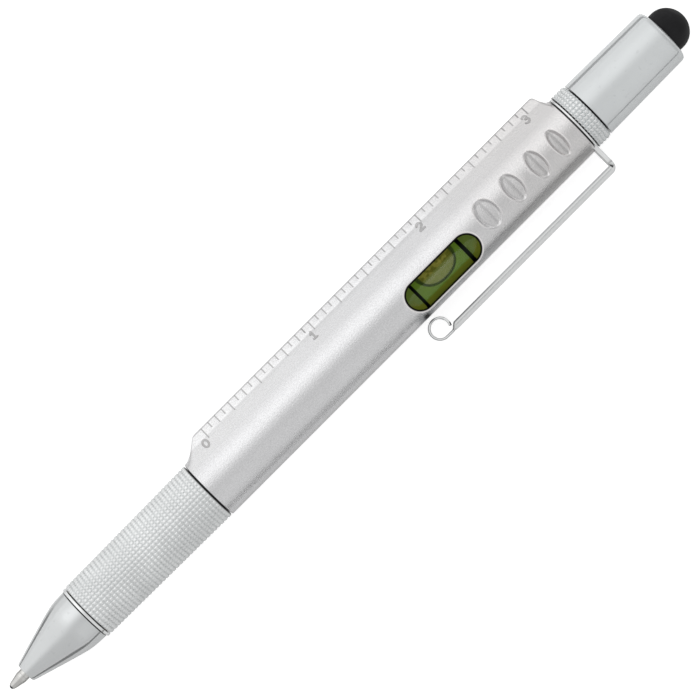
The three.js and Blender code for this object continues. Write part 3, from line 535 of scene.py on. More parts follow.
def nose():
    """The swelling cone is the smooth line through its measured radii. Mouth, shoulder and rear edge are rounded.
    A bright band stands behind it, past a gap drawn dark by painted shade on the cone's rear edge."""
    stations, radii = flowing([
        (4.0, 1.97), (7.0, 2.88), (10.0, 3.76), (12.4, 4.45), (13.4, 4.71), (14.2, 4.89), (15.2, 5.04), (17.0, 5.15),
    ])
    cone = [(station, radius, 0) for station, radius in zip(stations, radii)]
    profile = ring_round([
        (3.65, 1.185, 0.1), (3.65, 1.84, 0.2), *cone, (NOSE_END, 5.16, 0.14), (NOSE_END, 3.865, 0.05),
        (23.66, 3.865, 0.2), (23.66, 2.6, 0.1), (15.6, 2.6, 0.1), (15.6, 2.105, 0.1), (8.0, 2.105, 0.1),
        (8.0, 1.185, 0.05),
    ])
    body = turned(profile, 128)
    # Painted shade: the cone's rear edge is darkened as the gap behind it.
    gap = 0.9 * step_up(body[..., 0], NOSE_END - 0.1, NOSE_END - 0.04)
    made = skin("nose", [body], FINISH["nose_chrome"], shade=[gap])
    finish_piece(made, "grip", "nose_chrome", "nose_cone")
    profile = ring_round([(17.83, 3.97, 0.05), (17.83, 5.45, 0.12), (18.33, 5.45, 0.12), (18.33, 3.97, 0.05)])
    band = turned(profile, 128)
    made = skin("nose_band", [band], FINISH["nose_chrome"], shine=[np.ones(band.shape[:2])])
    finish_piece(made, "grip", "nose_chrome", "nose_ring")


def tooth(phase):
    """One tooth across its pitch: nought in the groove, one on the flat half, a rounded slope between."""
    rise = 1 - np.abs(2 * (phase % 1) - 1)
    return 1 - (1 - np.clip(2 * rise, 0, 1)) ** 1.2


def knurl(start, end, radius_start, radius_end, rows, teeth, depth, samples=6, lead=0.0):
    """A knurled band: the radius is the outer radius less the depth times one minus the lower of two tooth
    curves, one along the axis and one round it. The first row of teeth is cut off by its lead, a share of a
    tooth. The groove mark is one minus that tooth height."""
    station = np.linspace(start, end, rows * samples + 1)[:, None]
    turn = np.linspace(0, 2 * np.pi, teeth * samples + 1)[None]
    along = tooth((station - start) / (end - start) * rows + lead)
    along[0] = along[-1] = 0
    round_it = tooth(turn / (2 * np.pi) * teeth)
    height = np.minimum(along, round_it) * 0.6 + along * round_it * 0.4
    outer = radius_start + (radius_end - radius_start) * (station - start) / (end - start)
    radius = outer - depth * (1 - height)
    return round_grid(station, radius, turn), 1 - height


def lathe_rest(profile, teeth, samples=6):
    """The plain part of a knurled piece, turned with as many sides as its knurl so that the two close."""
    grid = turned(profile, teeth * samples)
    return grid, np.zeros(grid.shape[:2])


def grip():
    """A slightly swelling sleeve: a knurl from end to end, then a low lip at each end and the bore between. The
    lips, the bore and the knurl's last row are painted dark, a painted shade for the gaps beside them."""
    teeth = 46
    outer, groove = knurl(GRIP_START, GRIP_END, 5.47, 5.745, 35, teeth, 0.18)
    front, rear = outer[0, 0, 1], outer[-1, 0, 1]
    # Painted shade: the knurl's last row, the lips and the bore are painted black.
    last = 0 * groove
    last[-1] = 1
    rest = rounded([
        (GRIP_END, rear, 0), (GRIP_END + 0.02, rear - 0.02, 0), (GRIP_END + 0.02, 5.0, 0.02),
        (GRIP_END + 0.16, 5.0, 0.02), (GRIP_END + 0.16, GRIP_BORE, 0.02), (GRIP_START - 0.1, GRIP_BORE, 0.02),
        (GRIP_START - 0.1, 4.9, 0.02), (GRIP_START - 0.02, 4.9, 0.02), (GRIP_START - 0.02, front - 0.02, 0),
        (GRIP_START, front, 0),
    ])
    plain, clean = lathe_rest(rest, teeth)
    dark = np.broadcast_to((rest[:, 1] < front - 0.05).astype(float)[:, None], clean.shape)
    made = skin("knurled_grip", [outer, plain], FINISH["knurled_chrome"], sharp=70,
                groove=[0.8 * groove, clean], shade=[last, dark])
    finish_piece(made, "grip", "knurled_chrome", "grip_sleeve")


point_and_ball()
nose()
grip()

# Barrel

# The tube: its two ends, the radius of its round, its bore, and how far its ends are rounded.
BARREL_START, BARREL_END = 47.15, 133.6
ROUND, BORE = 5.75, 4.6
LIP = 0.15

# The flange's section: how far each corner is from the axis, and half its thickness there.
EDGE, EDGE_HALF = 8.24, 0.49
KNEE, KNEE_HALF = 6.65, 1.45
TANGENT, TANGENT_HALF = 4.205, 3.922
KNEE_DENT, KNEE_REACH = 0.117, 0.9
KNEE_SHARE = [(52, 0.4), (64, 0.65), (86, 0.95), (100, 0.95), (114, 0.2)]

# The window: a long hole with round ends. Its turn is where it opens, in degrees round from the rule's side.
WINDOW_MIDDLE, WINDOW_Y, WINDOW_HALF, WINDOW_STRAIGHT = 100.69, -2.09, 2.54, 5.48
WINDOW_TURN = math.degrees(math.acos(WINDOW_Y / ROUND))
WINDOW_SINK, WINDOW_EASE = 0.18, 0.26
WINDOW_LOW_TURN, WINDOW_HIGH_TURN, WINDOW_HIGH_TURN_INSIDE = 43.6, 155, 177

# The rule: marks a sixteenth of an inch apart, and a figure by each inch.
FIRST_MARK, MARK_PITCH, MARKS = 53.44, 1.5875, 49
MARK_FIRST, MARK_QUARTER, MARK_EIGHTH, MARK_SIXTEENTH = 1.77, 1.58, 1.22, 0.87
CUT_DEPTH = 0.07
DIGIT_MIDDLES, DIGIT_HEIGHT, DIGIT_WIDTH = (5.84, 6.0, 6.17, 6.31), 1.30, 1.2
DIGIT_STATIONS = [52.35, 77.93, 103.43, 128.68]

# The finger recesses: (middle, length along the pen) of each oval.
RECESSES = [(112.84, 4.1), (118.92, 3.45), (124.50, 3.1), (129.52, 2.65)]
RECESS_Y, RECESS_HALF = -0.40, 2.88

# The notch that the clip's tab passes.
NOTCH_LENGTH, NOTCH_HALF, NOTCH_FLOOR = 0.46, 2.28, 4.95


def digit_lines(figure):
    """The strokes of a plain figure, as lines of points in a unit box with y up."""
    turn = np.radians(np.linspace(0, 360, 33))
    if figure == 0:
        return [np.stack([0.5 + 0.40 * np.cos(turn), 0.5 + 0.5 * np.sin(turn)], -1)]
    if figure == 1:
        return [np.array([(0.22, 0.72), (0.52, 1.0), (0.52, 0.0)]), np.array([(0.22, 0.0), (0.82, 0.0)])]
    if figure == 2:
        top = np.radians(np.linspace(165, -35, 16))
        arc = np.stack([0.5 + 0.4 * np.cos(top), 0.68 + 0.32 * np.sin(top)], -1)
        return [np.concatenate([arc, [(0.10, 0.0), (0.92, 0.0)]])]
    upper = np.radians(np.linspace(150, -90, 16))
    lower = np.radians(np.linspace(90, -150, 16))
    arcs = [np.stack([0.48 + 0.34 * np.cos(upper), 0.76 + 0.24 * np.sin(upper)], -1),
            np.stack([0.48 + 0.40 * np.cos(lower), 0.27 + 0.27 * np.sin(lower)], -1)]
    return [np.concatenate(arcs)]


def line_distance(x, y, line):
    """How far each point of a grid is from the nearest stretch of a line of points."""
    best = np.full(x.shape, 1e9)
    for (ax, ay), (bx, by) in zip(line[:-1], line[1:]):
        run_x, run_y = bx - ax, by - ay
        t = np.clip(((x - ax) * run_x + (y - ay) * run_y) / (run_x ** 2 + run_y ** 2 + 1e-12), 0, 1)
        best = np.minimum(best, np.hypot(x - ax - t * run_x, y - ay - t * run_y))
    return best


def barrel_columns():
    """Stations of the barrel's grid: close together at the ramps, marks, figures, window ends and recesses."""
    parts = [np.linspace(BARREL_START, BARREL_END, 24)]
    parts.append(BARREL_START + np.array([0, 0.03, 0.08, 0.15, 0.22]))
    parts.append(BARREL_END - np.array([0, 0.03, 0.08, 0.15, 0.22, 0.44, 0.47, 0.50]))
    parts.append(np.linspace(47.2, 51.9, 30))
    parts.append(np.linspace(131.2, 133.4, 24))
    marks = FIRST_MARK + MARK_PITCH * np.arange(MARKS)
    parts.append((marks[:, None] + np.array([-0.18, -0.115, 0, 0.115, 0.18])[None]).reshape(-1))
    for station in DIGIT_STATIONS:
        parts.append(station + np.linspace(-0.72, 0.72, 23))
    for station, width in RECESSES:
        share = np.array([1.08, 1.0, 0.96, 0.91, 0.86, 0.8, 0.7, 0.58, 0.46, 0.34, 0.22, 0.13, 0.06])
        parts.append(station + width / 2 * np.concatenate([-share, [0], share]))
    bend = WINDOW_HALF * (1 - np.cos(np.linspace(0, np.pi / 2, 12)))
    far = WINDOW_STRAIGHT + WINDOW_HALF
    beyond = np.array([0.04, 0.1, 0.18, 0.3, 0.5])
    for side in (-1, 1):
        parts.append(WINDOW_MIDDLE + side * (far - bend))
        parts.append(WINDOW_MIDDLE + side * (far + beyond))
    stations = np.unique(np.round(np.concatenate(parts), 4))
    ends = WINDOW_MIDDLE + np.array([-1, 1]) * far
    needed = np.concatenate([[BARREL_START, BARREL_END], ends])
    keep = [stations[0]]
    for station in stations[1:]:
        if station - keep[-1] > 0.022:
            keep.append(station)
        elif np.min(np.abs(needed - station)) < 1e-6:
            keep[-1] = station
    return np.array(keep)


def half_window(station):
    """Half the window's height at a station: constant along its straight part, a half circle at each end."""
    past = np.clip(np.abs(station - WINDOW_MIDDLE) - WINDOW_STRAIGHT, 0, None)
    return np.sqrt(np.clip(WINDOW_HALF ** 2 - past ** 2, 0, None))


def window_distance(station, y):
    """How far a point is outside the window's outline, seen from above."""
    past = np.clip(np.abs(station - WINDOW_MIDDLE) - WINDOW_STRAIGHT, 0, None)
    return np.hypot(past, y - WINDOW_Y) - WINDOW_HALF


def section_rows():
    """The barrel's section from the flange's edge round to the edge again, as angle and radius, with the row
    where the window opens. The flange is a bevel and a flat that leaves the round at a tangent."""
    y = np.concatenate([
        [EDGE, 8.22, 8.17, 8.08, 7.9, 7.6, 7.48, 7.36, 7.24],
        np.arange(7.16, 4.98, -0.070), [4.9, 4.6, 4.35, 4.205],
    ])
    flat = np.interp(y, [TANGENT, KNEE, EDGE], [TANGENT_HALF, KNEE_HALF, EDGE_HALF])
    top_y = np.concatenate([[EDGE, EDGE], y[1:]])
    top_z = np.concatenate([[0.0, EDGE_HALF - 0.12], flat[1:]])
    top_y[2], top_z[2] = EDGE - 0.035, EDGE_HALF - 0.03
    angle = np.arctan2(top_z, top_y)
    radius = np.hypot(top_y, top_z)
    close = np.linspace(0, 1, 27) ** 1.4
    down = np.radians(np.concatenate([
        np.linspace(WINDOW_LOW_TURN, 58, 9)[1:], WINDOW_TURN - (WINDOW_TURN - 59.5) * close[::-1],
    ]))
    up = np.radians(np.concatenate([
        WINDOW_TURN + (138 - WINDOW_TURN) * close[::2], np.linspace(140, WINDOW_HIGH_TURN, 8),
        [156.5, 157.2, 159, 165, 172, 180],
    ]))
    opening = len(angle) + len(down) - 1
    back = np.radians([
        188, 195, 201, 202.8, 203.5, 210, 220, 230, 240, 250, 260, 270, 280, 290, 300, 308, 316.4,
    ])
    under = slice(None, None, -3)
    mirror_angle, mirror_radius = angle[under], radius[under]
    angles = np.concatenate([angle, down, up, back, 2 * np.pi - mirror_angle])
    radii = np.concatenate([radius, np.full(len(down) + len(up) + len(back), ROUND), mirror_radius])
    angles[-1], radii[-1] = 2 * np.pi, EDGE
    return angles, radii, opening


def flange_limit(station):
    """The turned outline that trims the flange, as a radius: round at each end of the barrel, then a soft hollow,
    a straight ramp and a rounded top."""
    front = flowing([
        (46.0, 5.75), (47.15, 5.76), (47.8, 5.86), (48.4, 6.09), (49.3, 6.60), (49.9, 7.04), (50.5, 7.48),
        (51.1, 8.00), (51.5, 8.34), (51.8, 8.50), (53, 8.6),
    ])
    rear = flowing([
        (130.5, 8.6), (131.35, 8.43), (131.6, 8.36), (131.9, 8.14), (132.15, 7.75), (132.4, 6.97),
        (132.7, 6.46), (133.0, 6.02), (133.3, 5.75), (134.5, 5.75),
    ])
    return np.where(station < 90, np.interp(station, *front), np.interp(station, *rear))


def rule_cut(station, y):
    """How deep each point of the ruled face is cut, as a share: marks of four lengths at each sixteenth of an
    inch, a little longer towards the front, and the figures as strokes of even width, deeper at their two edges."""
    number = np.clip(np.round((station - FIRST_MARK) / MARK_PITCH), 0, MARKS - 1)
    off = np.abs(station - FIRST_MARK - number * MARK_PITCH)
    length = np.where(number % 4 == 0, MARK_QUARTER, np.where(number % 2 == 0, MARK_EIGHTH, MARK_SIXTEENTH))
    length = np.where(number == 0, MARK_FIRST, length) + np.interp(station, [53, 98, 112], [0.33, 0.12, 0])
    marks = step_up(-off, -0.14, -0.05) * step_up(y, EDGE - length - 0.05, EDGE - length + 0.05)
    figures = np.zeros(station.shape)
    for figure, middle in enumerate(DIGIT_STATIONS):
        across = (station - middle) / DIGIT_WIDTH + 0.5
        above = (y - DIGIT_MIDDLES[figure]) / DIGIT_HEIGHT + 0.5
        for line in digit_lines(figure):
            stroke_line = line * [DIGIT_WIDTH, DIGIT_HEIGHT]
            apart = line_distance(across * DIGIT_WIDTH, above * DIGIT_HEIGHT, stroke_line)
            stroke = step_up(-apart, -0.23, -0.13) * (1 - 0.35 * step_up(-apart, -0.09, -0.02))
            figures = np.maximum(figures, stroke)
    return marks, figures


def recess_cut(station, y, z):
    """How deep each point is cut by the finger recesses. The floor is a very shallow barrel shape, nearly level
    across the pen, with a soft crease behind its middle; the wall of each oval eases down to it. Also how near
    each point is to an oval's outline, from outside."""
    depth, border = np.zeros(station.shape), np.zeros(station.shape)
    for middle, width in RECESSES:
        along, aside, half = station - middle, y - RECESS_Y, width / 2
        way = np.hypot(along / half, aside / RECESS_HALF)
        inside = (1 - way) * way / (np.hypot(along / half ** 2, aside / RECESS_HALF ** 2) + 1e-6)
        crease = 0.15 * np.exp(-((along - 0.29 * half) / 0.40) ** 2)
        floor = 4.96 + 0.055 * aside - aside ** 2 / 30 + 0.04 * np.abs(along) - crease
        depth = np.maximum(depth, step_up(inside, 0.0, 0.46) * np.clip(z - floor, 0.10, None))
        # The border is a painted highlight round each oval, fainter on its side towards the clip.
        edge = step_up(inside, -0.24, -0.10) * step_up(-inside, -0.04, 0.04)
        border = np.maximum(border, edge * (0.25 + 0.65 * step_up(aside, -3.0, -0.5)))
    return depth, border


def opened(angles, opening, columns, radius):
    """Rows of a round wall pushed apart at the window. On each side of the opening row a row keeps its share of
    the way from the opening to a fixed angle, so the row next to the opening follows the window's outline."""
    half = half_window(columns)[None]
    low = math.radians(WINDOW_LOW_TURN)
    high = math.radians(WINDOW_HIGH_TURN if radius > BORE else WINDOW_HIGH_TURN_INSIDE)
    upper_edge = np.arccos(np.clip((WINDOW_Y + half) / radius, -1, 1))
    lower_edge = np.arccos(np.clip((WINDOW_Y - half) / radius, -1, 1))
    home = math.acos(WINDOW_Y / radius)
    turn = angles[:, None] + 0 * half
    rows = np.arange(len(angles))[:, None]
    start = math.radians(WINDOW_TURN)
    upper = (turn > low) & (turn <= start + 1e-9) & (rows <= opening)
    lower = (turn < high) & (turn >= start - 1e-9) & (rows > opening)
    share_up = (turn - low) / (start - low)
    share_down = (high - turn) / (high - start)
    if radius == BORE:
        near_home = np.where(rows <= opening, low + (home - low) * share_up, high - (high - home) * share_down)
        turn = np.where((turn > low) & (turn < high), near_home, turn)
    turn = np.where(upper, low + (upper_edge - low) * share_up, turn)
    turn = np.where(lower, high - (high - lower_edge) * share_down, turn)
    return turn


def window_walls(outer, inside, columns, opening):
    """The wall of the window on each side of its opening row: straight lines from the outer skin to the bore,
    pushed outwards from the window's middle line by a shallow bulge."""
    within = np.abs(columns - WINDOW_MIDDLE) <= WINDOW_STRAIGHT + WINDOW_HALF + 1e-6
    share = np.array([0, 0.04, 0.08, 0.14, 0.22, 0.32, 0.45, 0.6, 0.8, 1.0])[:, None]
    bulge = np.interp(share, [0, 0.08, 0.22, 0.45, 1], [0, 0.13, 0.19, 0.13, 0])
    station = columns[within]
    past = station - WINDOW_MIDDLE
    past = past - np.clip(past, -WINDOW_STRAIGHT, WINDOW_STRAIGHT)
    walls = []
    for row in (opening, opening + 1):
        top, foot = outer[row, within], round_grid(station, BORE, inside[row, within])
        aside = top[:, 1] - WINDOW_Y
        away = np.hypot(past, aside)
        wall = top[None] * (1 - share[..., None]) + foot[None] * share[..., None]
        wall[..., 0] -= bulge * past / away
        wall[..., 1] -= bulge * aside / away
        walls.append(wall)
    return walls


def barrel():
    """The skin's radius is the round's, plus the lower of the section's flange and the turned outline, with their
    meeting line smoothed; less the marks, the lips at both ends and the notch. Its height is then lowered at the
    window's rim, in the recesses and along the flange's knee. Bore, window walls and end faces close it."""
    angles, radii, opening = section_rows()
    columns = barrel_columns()
    turn = opened(angles, opening, columns, ROUND)
    station = np.broadcast_to(columns, turn.shape)

    proud = np.clip(radii - ROUND, 0, None)[:, None] + 0 * station
    limit = np.clip(flange_limit(station) - ROUND, 0, None)
    least = np.minimum(proud, limit)
    blur = np.minimum(0.35, 1.5 * least) + 1e-9
    overlap = np.clip(blur - np.abs(proud - limit), 0, None) / blur
    radius = ROUND + least - overlap ** 2 * blur / 4

    y, z = radius * np.cos(turn), radius * np.sin(turn)
    ruled = (z > 0) & (y > 4.9) & (limit > proud + 0.02)
    marks, figures = rule_cut(station, y)
    cut = np.where(ruled, np.maximum(marks, 0.85 * figures), 0.0)
    radius = radius - CUT_DEPTH * cut

    end = np.minimum(station - BARREL_START, BARREL_END - 0.05 - station)
    lip = np.clip(1 - end / LIP, 0, 1)
    radius = radius - LIP * (1 - np.sqrt(np.clip(1 - lip ** 2, 0, 1)))
    notch = (station > BARREL_END - NOTCH_LENGTH) & (np.abs(z) < NOTCH_HALF) & (y < 0)
    radius = np.where(notch, NOTCH_FLOOR / np.clip(-np.cos(turn), 0.3, 1), radius)

    apart = window_distance(station, y)
    hollow, border = recess_cut(station, y, z)
    recessed = (z > 0) & (station > 110)
    sink = np.where(z > 0, WINDOW_SINK * np.clip(1 - apart / WINDOW_EASE, 0, 1), 0)
    sink = sink + np.where(recessed, hollow, 0.0)
    knee = np.clip(1 - np.abs(y - KNEE) / KNEE_REACH, 0, None) * np.interp(station, *zip(*KNEE_SHARE))
    sink = sink + np.sign(z) * KNEE_DENT * knee ** 2
    outer = round_grid(station, radius, turn)
    outer[..., 2] -= sink

    inside = opened(angles, opening, columns, BORE)
    coarse = np.abs(columns - WINDOW_MIDDLE) < 8.3
    coarse[::12] = coarse[-1] = True
    inner = round_grid(station, BORE, inside)[:, coarse]
    patches = [outer[:opening + 1], outer[opening + 1:], inner[:opening + 1], inner[opening + 1:]]
    patches += window_walls(outer, inside, columns, opening)
    for at in (0, -1):
        half_way = np.linspace(0, 1, 3)[:, None, None]
        face = outer[:, at][None] * (1 - half_way) + inner[:, at][None] * half_way
        patches += [face[:, :opening + 1], face[:, opening + 1:]]

    # Painted shade along the flange's outer edge, given with the cut marks' colour.
    edge_shade = np.where(np.abs(z) < 0.6, step_up(y, EDGE - 0.22, EDGE - 0.08), 0.0)
    # Painted highlight: a near-white rim round the window, and round each finger recess along its border.
    bright = np.where(z > 0, step_up(-apart, -0.46, -0.38) * step_up(apart, 0.13, 0.18), 0.0)
    bright = np.maximum(bright, np.where(recessed, 0.9 * border, 0.0))
    # Painted shade: black in the window's gap and at the gaps of both ends.
    dark = np.where(z > 0, step_up(-apart, -0.15, -0.10), 0.0)
    dark = np.maximum(dark, step_up(-end, -0.12, -0.05))
    dark = np.maximum(dark, step_up(station, BARREL_END - 0.17, BARREL_END - 0.11))
    marks = {"cut": np.maximum(cut, 0.8 * edge_shade), "rim": bright, "shade": dark}
    # The bore, the window walls and the end faces are painted black shade all over.
    for name, values in marks.items():
        rest = [np.full(patch.shape[:2], float(name == "shade")) for patch in patches[2:]]
        marks[name] = [values[:opening + 1], values[opening + 1:], *rest]
    made = skin("ruled_barrel", patches, FINISH["satin_silver"], sharp=50, **marks)
    finish_piece(made, "barrel", "satin_silver", "barrel")


barrel()

# Level

# The vial with its bands, (middle, half width) each, and the fluid with the outline of its bubble.
VIAL_START, VIAL_END = 91.25, 110.45
VIAL_CENTRE = (-1.831, 0.598)
VIAL_RADIUS, VIAL_BORE, FLUID_RADIUS = 2.624, 2.095, 2.120
BAND_FLOOR, BAND_PLAY = 2.354, 0.05
BANDS = {"gauge_ring_front": (95.07, 0.28), "gauge_ring_rear": (106.0, 0.36)}
BUBBLE_MIDDLE, BUBBLE_HALF, BUBBLE_TOP, BUBBLE_DROP, BUBBLE_POWER = 100.55, 3.85, 2.15, 3.32, 2.3


def vial():
    """A clear tube closed at its front end, and two black bands, each in a groove round it."""
    corners = [(VIAL_START, 0.0, 0), (VIAL_START, VIAL_RADIUS, 0.25)]
    for middle, half in BANDS.values():
        low, high = middle - half - BAND_PLAY, middle + half + BAND_PLAY
        corners += [(low, VIAL_RADIUS, 0), (low, BAND_FLOOR, 0), (high, BAND_FLOOR, 0), (high, VIAL_RADIUS, 0)]
    corners += [
        (VIAL_END, VIAL_RADIUS, 0.1), (VIAL_END, VIAL_BORE, 0.1), (VIAL_START + 0.8, VIAL_BORE, 0.2),
        (VIAL_START + 0.8, 0.0, 0),
    ]
    tube = skin("vial", [turned(rounded(corners), 96, VIAL_CENTRE)], FINISH["clear_vial"], sharp=30)
    finish_piece(tube, "barrel", "clear_vial", "vial_tube")
    for node, (middle, half) in BANDS.items():
        low, high, foot = middle - half, middle + half, BAND_FLOOR + BAND_PLAY
        profile = ring_round([
            (low, foot, 0.03), (low, VIAL_RADIUS, 0.05), (high, VIAL_RADIUS, 0.05), (high, foot, 0.03),
        ])
        band = skin(node + "_band", [turned(profile, 96, VIAL_CENTRE)], FINISH["black_line"])
        finish_piece(band, "barrel", "black_line", node)


def fluid():
    """A round whose radius is less inside the bubble's outline. Seen from above through the tube, the outline is
    half a rounded oval that hangs from the rule's side: the way along to a power and the way across to the same
    power add up to one. A turn of the fluid shows where a line bent at the tube's face would meet it."""
    station = np.concatenate([
        np.linspace(92.1, 96.2, 16), np.linspace(96.3, 98.2, 26), np.linspace(98.4, 102.8, 24),
        np.linspace(102.9, 104.9, 26), np.linspace(105.1, 109.1, 16),
    ])[:, None]
    turn = np.radians(np.concatenate([np.linspace(0, 180, 151), np.linspace(186, 360, 30)]))[None]
    shown = np.linspace(-VIAL_RADIUS, VIAL_RADIUS, 201) * 0.999
    hit = np.arcsin(shown / VIAL_RADIUS) - np.arcsin(shown / VIAL_IOR / VIAL_RADIUS)
    hit = hit + np.arcsin(np.clip(shown / VIAL_IOR / FLUID_RADIUS, -1, 1))
    y = np.interp(np.pi / 2 - turn, hit, shown) + 0 * station
    facing = np.broadcast_to(turn < np.pi * 1.05, y.shape)
    along = (np.abs(station - BUBBLE_MIDDLE + 0 * turn) / BUBBLE_HALF) ** BUBBLE_POWER
    down = (np.clip(BUBBLE_TOP - y, 0, None) / BUBBLE_DROP) ** BUBBLE_POWER
    outline = np.where(facing, (1 - (along + down) ** (1 / BUBBLE_POWER)) * 3.2, -1.0)
    wide = 0.27 + 0.16 * step_up(y, 0.2, 1.8)
    apart = window_distance(station, VIAL_CENTRE[0] + y)
    marks = {
        "bubble": step_up(outline, 0.0, 0.12),
        # The bubble's dark line is a painted refraction ring.
        "meniscus": step_up(outline, -wide, -wide / 2) * step_up(-outline, -wide, -wide / 3),
        "patch": step_up(y, 0.95, 1.35) * (1 - 0.8 * step_up(y, 2.1, 2.3)),
        "upper": step_up(y, 0.1, 1.4),
        "band": np.where(facing, step_up(apart, -1.22, -1.02) * step_up(-y, -0.2, 0.9), 0.0),
        "end": step_up(np.abs(station - 100.6 + 0 * turn), 5.2, 6.0),
    }
    dent = 0.25 * step_up(outline, -0.02, 0.45) * step_up(-np.abs(y), -1.95, -1.6)
    grid = round_grid(station, FLUID_RADIUS - dent, turn, VIAL_CENTRE)
    share = np.array([0, 0.5, 1])[:, None, None]
    ends = [grid[n][None] * (1 - share) + np.array([station[n, 0], *VIAL_CENTRE]) * share for n in (0, -1)]
    marks = {name: [values, *(np.zeros(end.shape[:2]) for end in ends)] for name, values in marks.items()}
    made = skin("fluid", [grid, *ends], FINISH["level_fluid"], sharp=60, **marks)
    finish_piece(made, "barrel", "level_fluid", "vial_fluid")


vial()
fluid()

# Collar, cap and stylus

def screwed(start, end, radius, pitch, depth, sides):
    """A screw thread: the radius falls below the crest by the depth times a rounded wave whose phase is the
    station over the pitch less the share of a turn, eased to the root at both ends. Six rows to a pitch."""
    rows = int(round((end - start) / pitch * 6))
    station = np.linspace(start, end, rows + 1)[:, None]
    turn = np.linspace(0, 2 * np.pi, sides + 1)[None]
    wave = 0.5 + 0.5 * np.cos(2 * np.pi * ((station - start) / pitch - turn / (2 * np.pi)))
    fade = step_up(np.minimum(station - start, end - station), 0, pitch * 0.8)
    return round_grid(station, radius - depth * (1 - wave * fade), turn)


COLLAR_START, COLLAR_END = 134.24, 137.04
THREAD_START, THREAD_END, THREAD_CREST, THREAD_DEPTH = 137.98, 141.05, 3.897, 0.2


def bit_holder():
    """Knurled collar, a shank in the barrel, a neck for the seal, a spigot with a thread and a bore for the bit.
    The teeth of the collar's first rows, and the shank and neck at its two sides, are painted black: painted shade
    for the gaps there."""
    teeth, samples = 46, 8
    outer, groove = knurl(COLLAR_START, COLLAR_END, 5.75, 5.75, 4, teeth, 0.26, samples, lead=0.3)
    # Painted shade: black on the teeth of the first two rows, and on the shank and neck by the gaps.
    bites = 0 * groove
    bites[:2] = tooth(np.arange(teeth * samples + 1) / samples)
    thread = screwed(THREAD_START, THREAD_END, THREAD_CREST, 0.5, THREAD_DEPTH, teeth * samples)
    root, low = outer[0, 0, 1], THREAD_CREST - THREAD_DEPTH
    shank = rounded([
        (119.5, 0.0, 0), (119.5, 4.55, 0.2), (COLLAR_START - 0.06, 4.55, 0.05),
        (COLLAR_START - 0.06, root - 0.05, 0.03), (COLLAR_START, root, 0),
    ])
    neck = rounded([
        (COLLAR_END, root, 0), (137.1, root - 0.05, 0.03), (137.1, 3.497, 0.05), (137.85, 3.497, 0.05),
        (137.85, low, 0.03), (THREAD_START, low, 0),
    ])
    bore = rounded([
        (THREAD_END, low, 0), (141.2, low - 0.1, 0.05), (141.2, 3.047, 0.05), (121.3, 3.047, 0.1), (121.3, 0.0, 0),
    ])
    patches = [outer, thread]
    grooves = [np.clip(1.5 * groove, 0, 1), np.zeros(thread.shape[:2])]
    shades = [bites, np.zeros(thread.shape[:2])]
    for line, (dark_from, dark_to) in ((shank, (133.9, 134.3)), (neck, (137.0, 137.9)), (bore, (0, 0))):
        grid, clean = lathe_rest(line, teeth, samples)
        patches.append(grid)
        grooves.append(clean)
        shades.append(clean + ((line[:, 0] > dark_from) & (line[:, 0] < dark_to))[:, None])
    made = skin("collar", patches, FINISH["knurled_chrome"], sharp=70, groove=grooves, shade=shades)
    finish_piece(made, "barrel", "knurled_chrome", "bit_holder")


def seal():
    """A rubber ring: a circle carried round the axis."""
    angle = np.linspace(0, 2 * np.pi, 17)
    thick = 0.3
    line = np.stack([137.45 - thick * np.cos(angle), 3.847 + thick * np.sin(angle)], -1)
    made = skin("seal", [turned(line, 96)], FINISH["black_rubber"])
    finish_piece(made, "barrel", "black_rubber", "seal_ring")


def cap():
    """A slightly tapered shell, rounded over at its crown, with the stylus' seat and shelf inside."""
    crown = [(154.4, 5.35, 0.3), (154.85, 5.24, 0.25), (155.1, 4.85, 0.2), (155.22, 4.5, 0.12)]
    profile = ring_round([
        (137.35, 4.597, 0.05), (137.35, 5.547, 0.12), (146.0, 5.447, 0), *crown, (155.22, 4.15, 0.05),
        (155.02, 3.95, 0.05), (153.4, 3.95, 0.05), (153.4, 2.55, 0.05), (152.0, 2.55, 0.05), (152.0, 4.597, 0.1),
    ])
    made = skin("cap", [turned(profile, 144)], FINISH["cap_chrome"])
    finish_piece(made, "cap", "cap_chrome", "cap_shell")


def stylus():
    """A soft hollow dome, whose outline is a straight side and then a quarter of an oval."""
    angle = np.linspace(0, np.pi / 2, 20)
    middle, tall, wide, wall = 156.2, 3.66, 3.9, 0.6
    dome = np.stack([middle + tall * np.sin(angle), wide * np.cos(angle)], -1)
    hollow = np.stack([middle + (tall - wall) * np.sin(angle), (wide - wall) * np.cos(angle)], -1)
    skirt = rounded([(156.0, wide, 0), (153.45, wide, 0.1), (153.45, wide - wall, 0.1), (156.0, wide - wall, 0)])
    line = np.concatenate([dome[::-1], skirt, hollow])
    made = skin("stylus_dome", [turned(line, 96)], FINISH["stylus_rubber"], sharp=60)
    finish_piece(made, "cap", "stylus_rubber", "stylus_tip")


bit_holder()
seal()
cap()
stylus()

# Clip

# The strip's half width, sheet and arch; the tab, the corner and the line of the arm's middle; the rolled end.
HALF_STRIP, SHEET, ARCH, STRIP_ROUND = 2.15, 0.50, 0.90, 0.12
TAB_STATION, TAB_SHEET, CORNER = 133.615, 0.80, 0.505
ARM_LINE, ARM_END = 9.12 + SHEET / 2, 96.3
ROLL_STATION, ROLL_Y, ROLL_RADIUS, ROLL_SHEET = 93.72, -8.39, 2.03, 0.42


